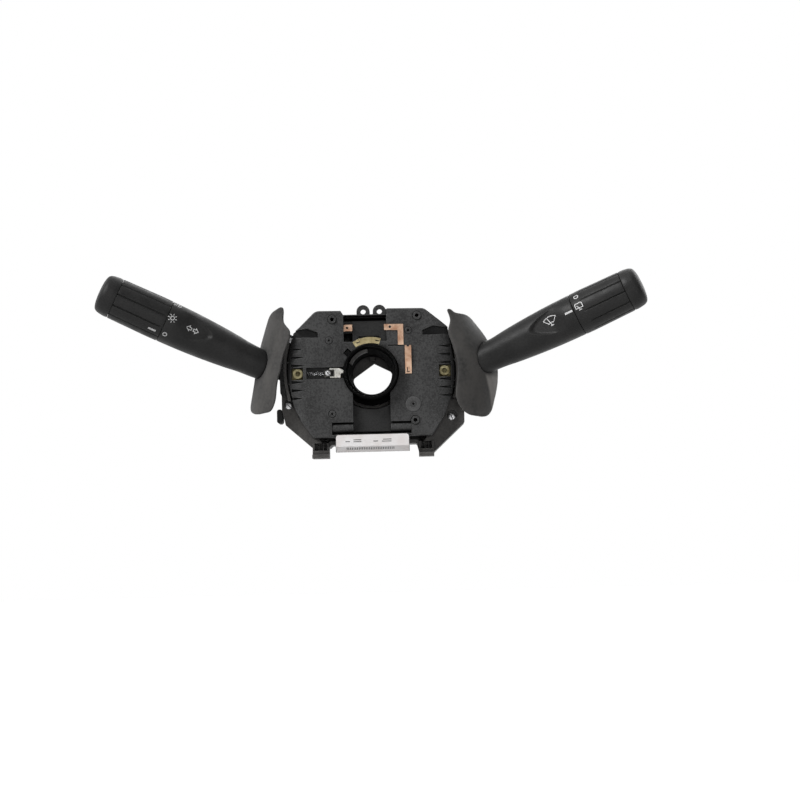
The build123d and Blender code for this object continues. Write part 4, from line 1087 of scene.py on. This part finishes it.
FLOOR_HEIGHT, FLOOR_REACH = -0.30, 4.0  # metres
LAMPS = (  # name, direction that it stands in, strength, apparent size in degrees
    ("key_lamp", (-0.75, -0.75, 0.85), 2.8, 28),
    ("front_lamp", (0.2, -1.0, 0.0), 0.42, 22),
    ("rear_lamp", (0.35, 1.0, 0.75), 0.9, 50),
)
SOFT_LIGHT = 0.16  # level of the world on the object
DIM_SIDE, BRIGHT_SIDE = 0.16, 0.9  # levels of the studio in reflections
BRIGHT_TOWARDS = (0, 0.75, 0.65)
DIM_END, BRIGHT_END = -0.35, 0.6  # how far a direction points there when the levels are reached


def make_studio():
    """Pale floor well below the part, soft lamps and a white background."""
    bm = bmesh.new()
    place = Matrix.Translation((0, 0, FLOOR_HEIGHT))
    bmesh.ops.create_grid(bm, x_segments=4, y_segments=4, size=FLOOR_REACH, matrix=place)
    mesh = bpy.data.meshes.new("floor")
    bm.to_mesh(mesh)
    bm.free()
    mesh.materials.append(pale_floor("pale_floor"))
    floor = bpy.data.objects.new("floor", mesh)
    bpy.context.scene.collection.objects.link(floor)
    for name, stands, strength, apparent in LAMPS:
        lamp = bpy.data.objects.new(name, bpy.data.lights.new(name, "SUN"))
        lamp.data.energy = strength
        lamp.data.angle = radians(apparent)
        lamp.rotation_euler = Vector(stands).to_track_quat("Z", "Y").to_euler()
        bpy.context.scene.collection.objects.link(lamp)
    make_world()
    bpy.context.scene.view_settings.view_transform = "Standard"


def make_world():
    """White background, soft light, and a studio in reflections that is dim in front of the face."""
    world = bpy.data.worlds.new("studio")
    world.use_nodes = True
    bpy.context.scene.world = world
    tree = world.node_tree
    tree.nodes.clear()
    path = add_node(tree, "ShaderNodeLightPath").outputs
    direction = add_node(tree, "ShaderNodeTexCoord").outputs["Generated"]
    towards = add_node(
        tree, "ShaderNodeVectorMath", {0: direction, 1: BRIGHT_TOWARDS}, operation="DOT_PRODUCT")
    reflected = spread(tree, towards.outputs["Value"], DIM_SIDE, BRIGHT_SIDE, DIM_END, BRIGHT_END)
    extra = calculate(tree, "SUBTRACT", reflected, SOFT_LIGHT)
    mirrored = calculate(tree, "MULTIPLY", extra, mirrored_share(tree, path))
    seen = calculate(tree, "MULTIPLY", path["Is Camera Ray"], 1 - SOFT_LIGHT)
    strength = calculate(tree, "ADD", calculate(tree, "ADD", mirrored, seen), SOFT_LIGHT)
    light = add_node(tree, "ShaderNodeBackground", {"Color": (1, 1, 1, 1), "Strength": strength})
    output = add_node(tree, "ShaderNodeOutputWorld")
    tree.links.new(light.outputs[0], output.inputs["Surface"])


make_camera()
make_studio()
dress_frame()
make_levers()
make_marks()
make_guards()
make_label()
make_hub()
make_screws()
make_pawl_fork()
make_pawl_spring()
make_boss_ring()
make_ledge()
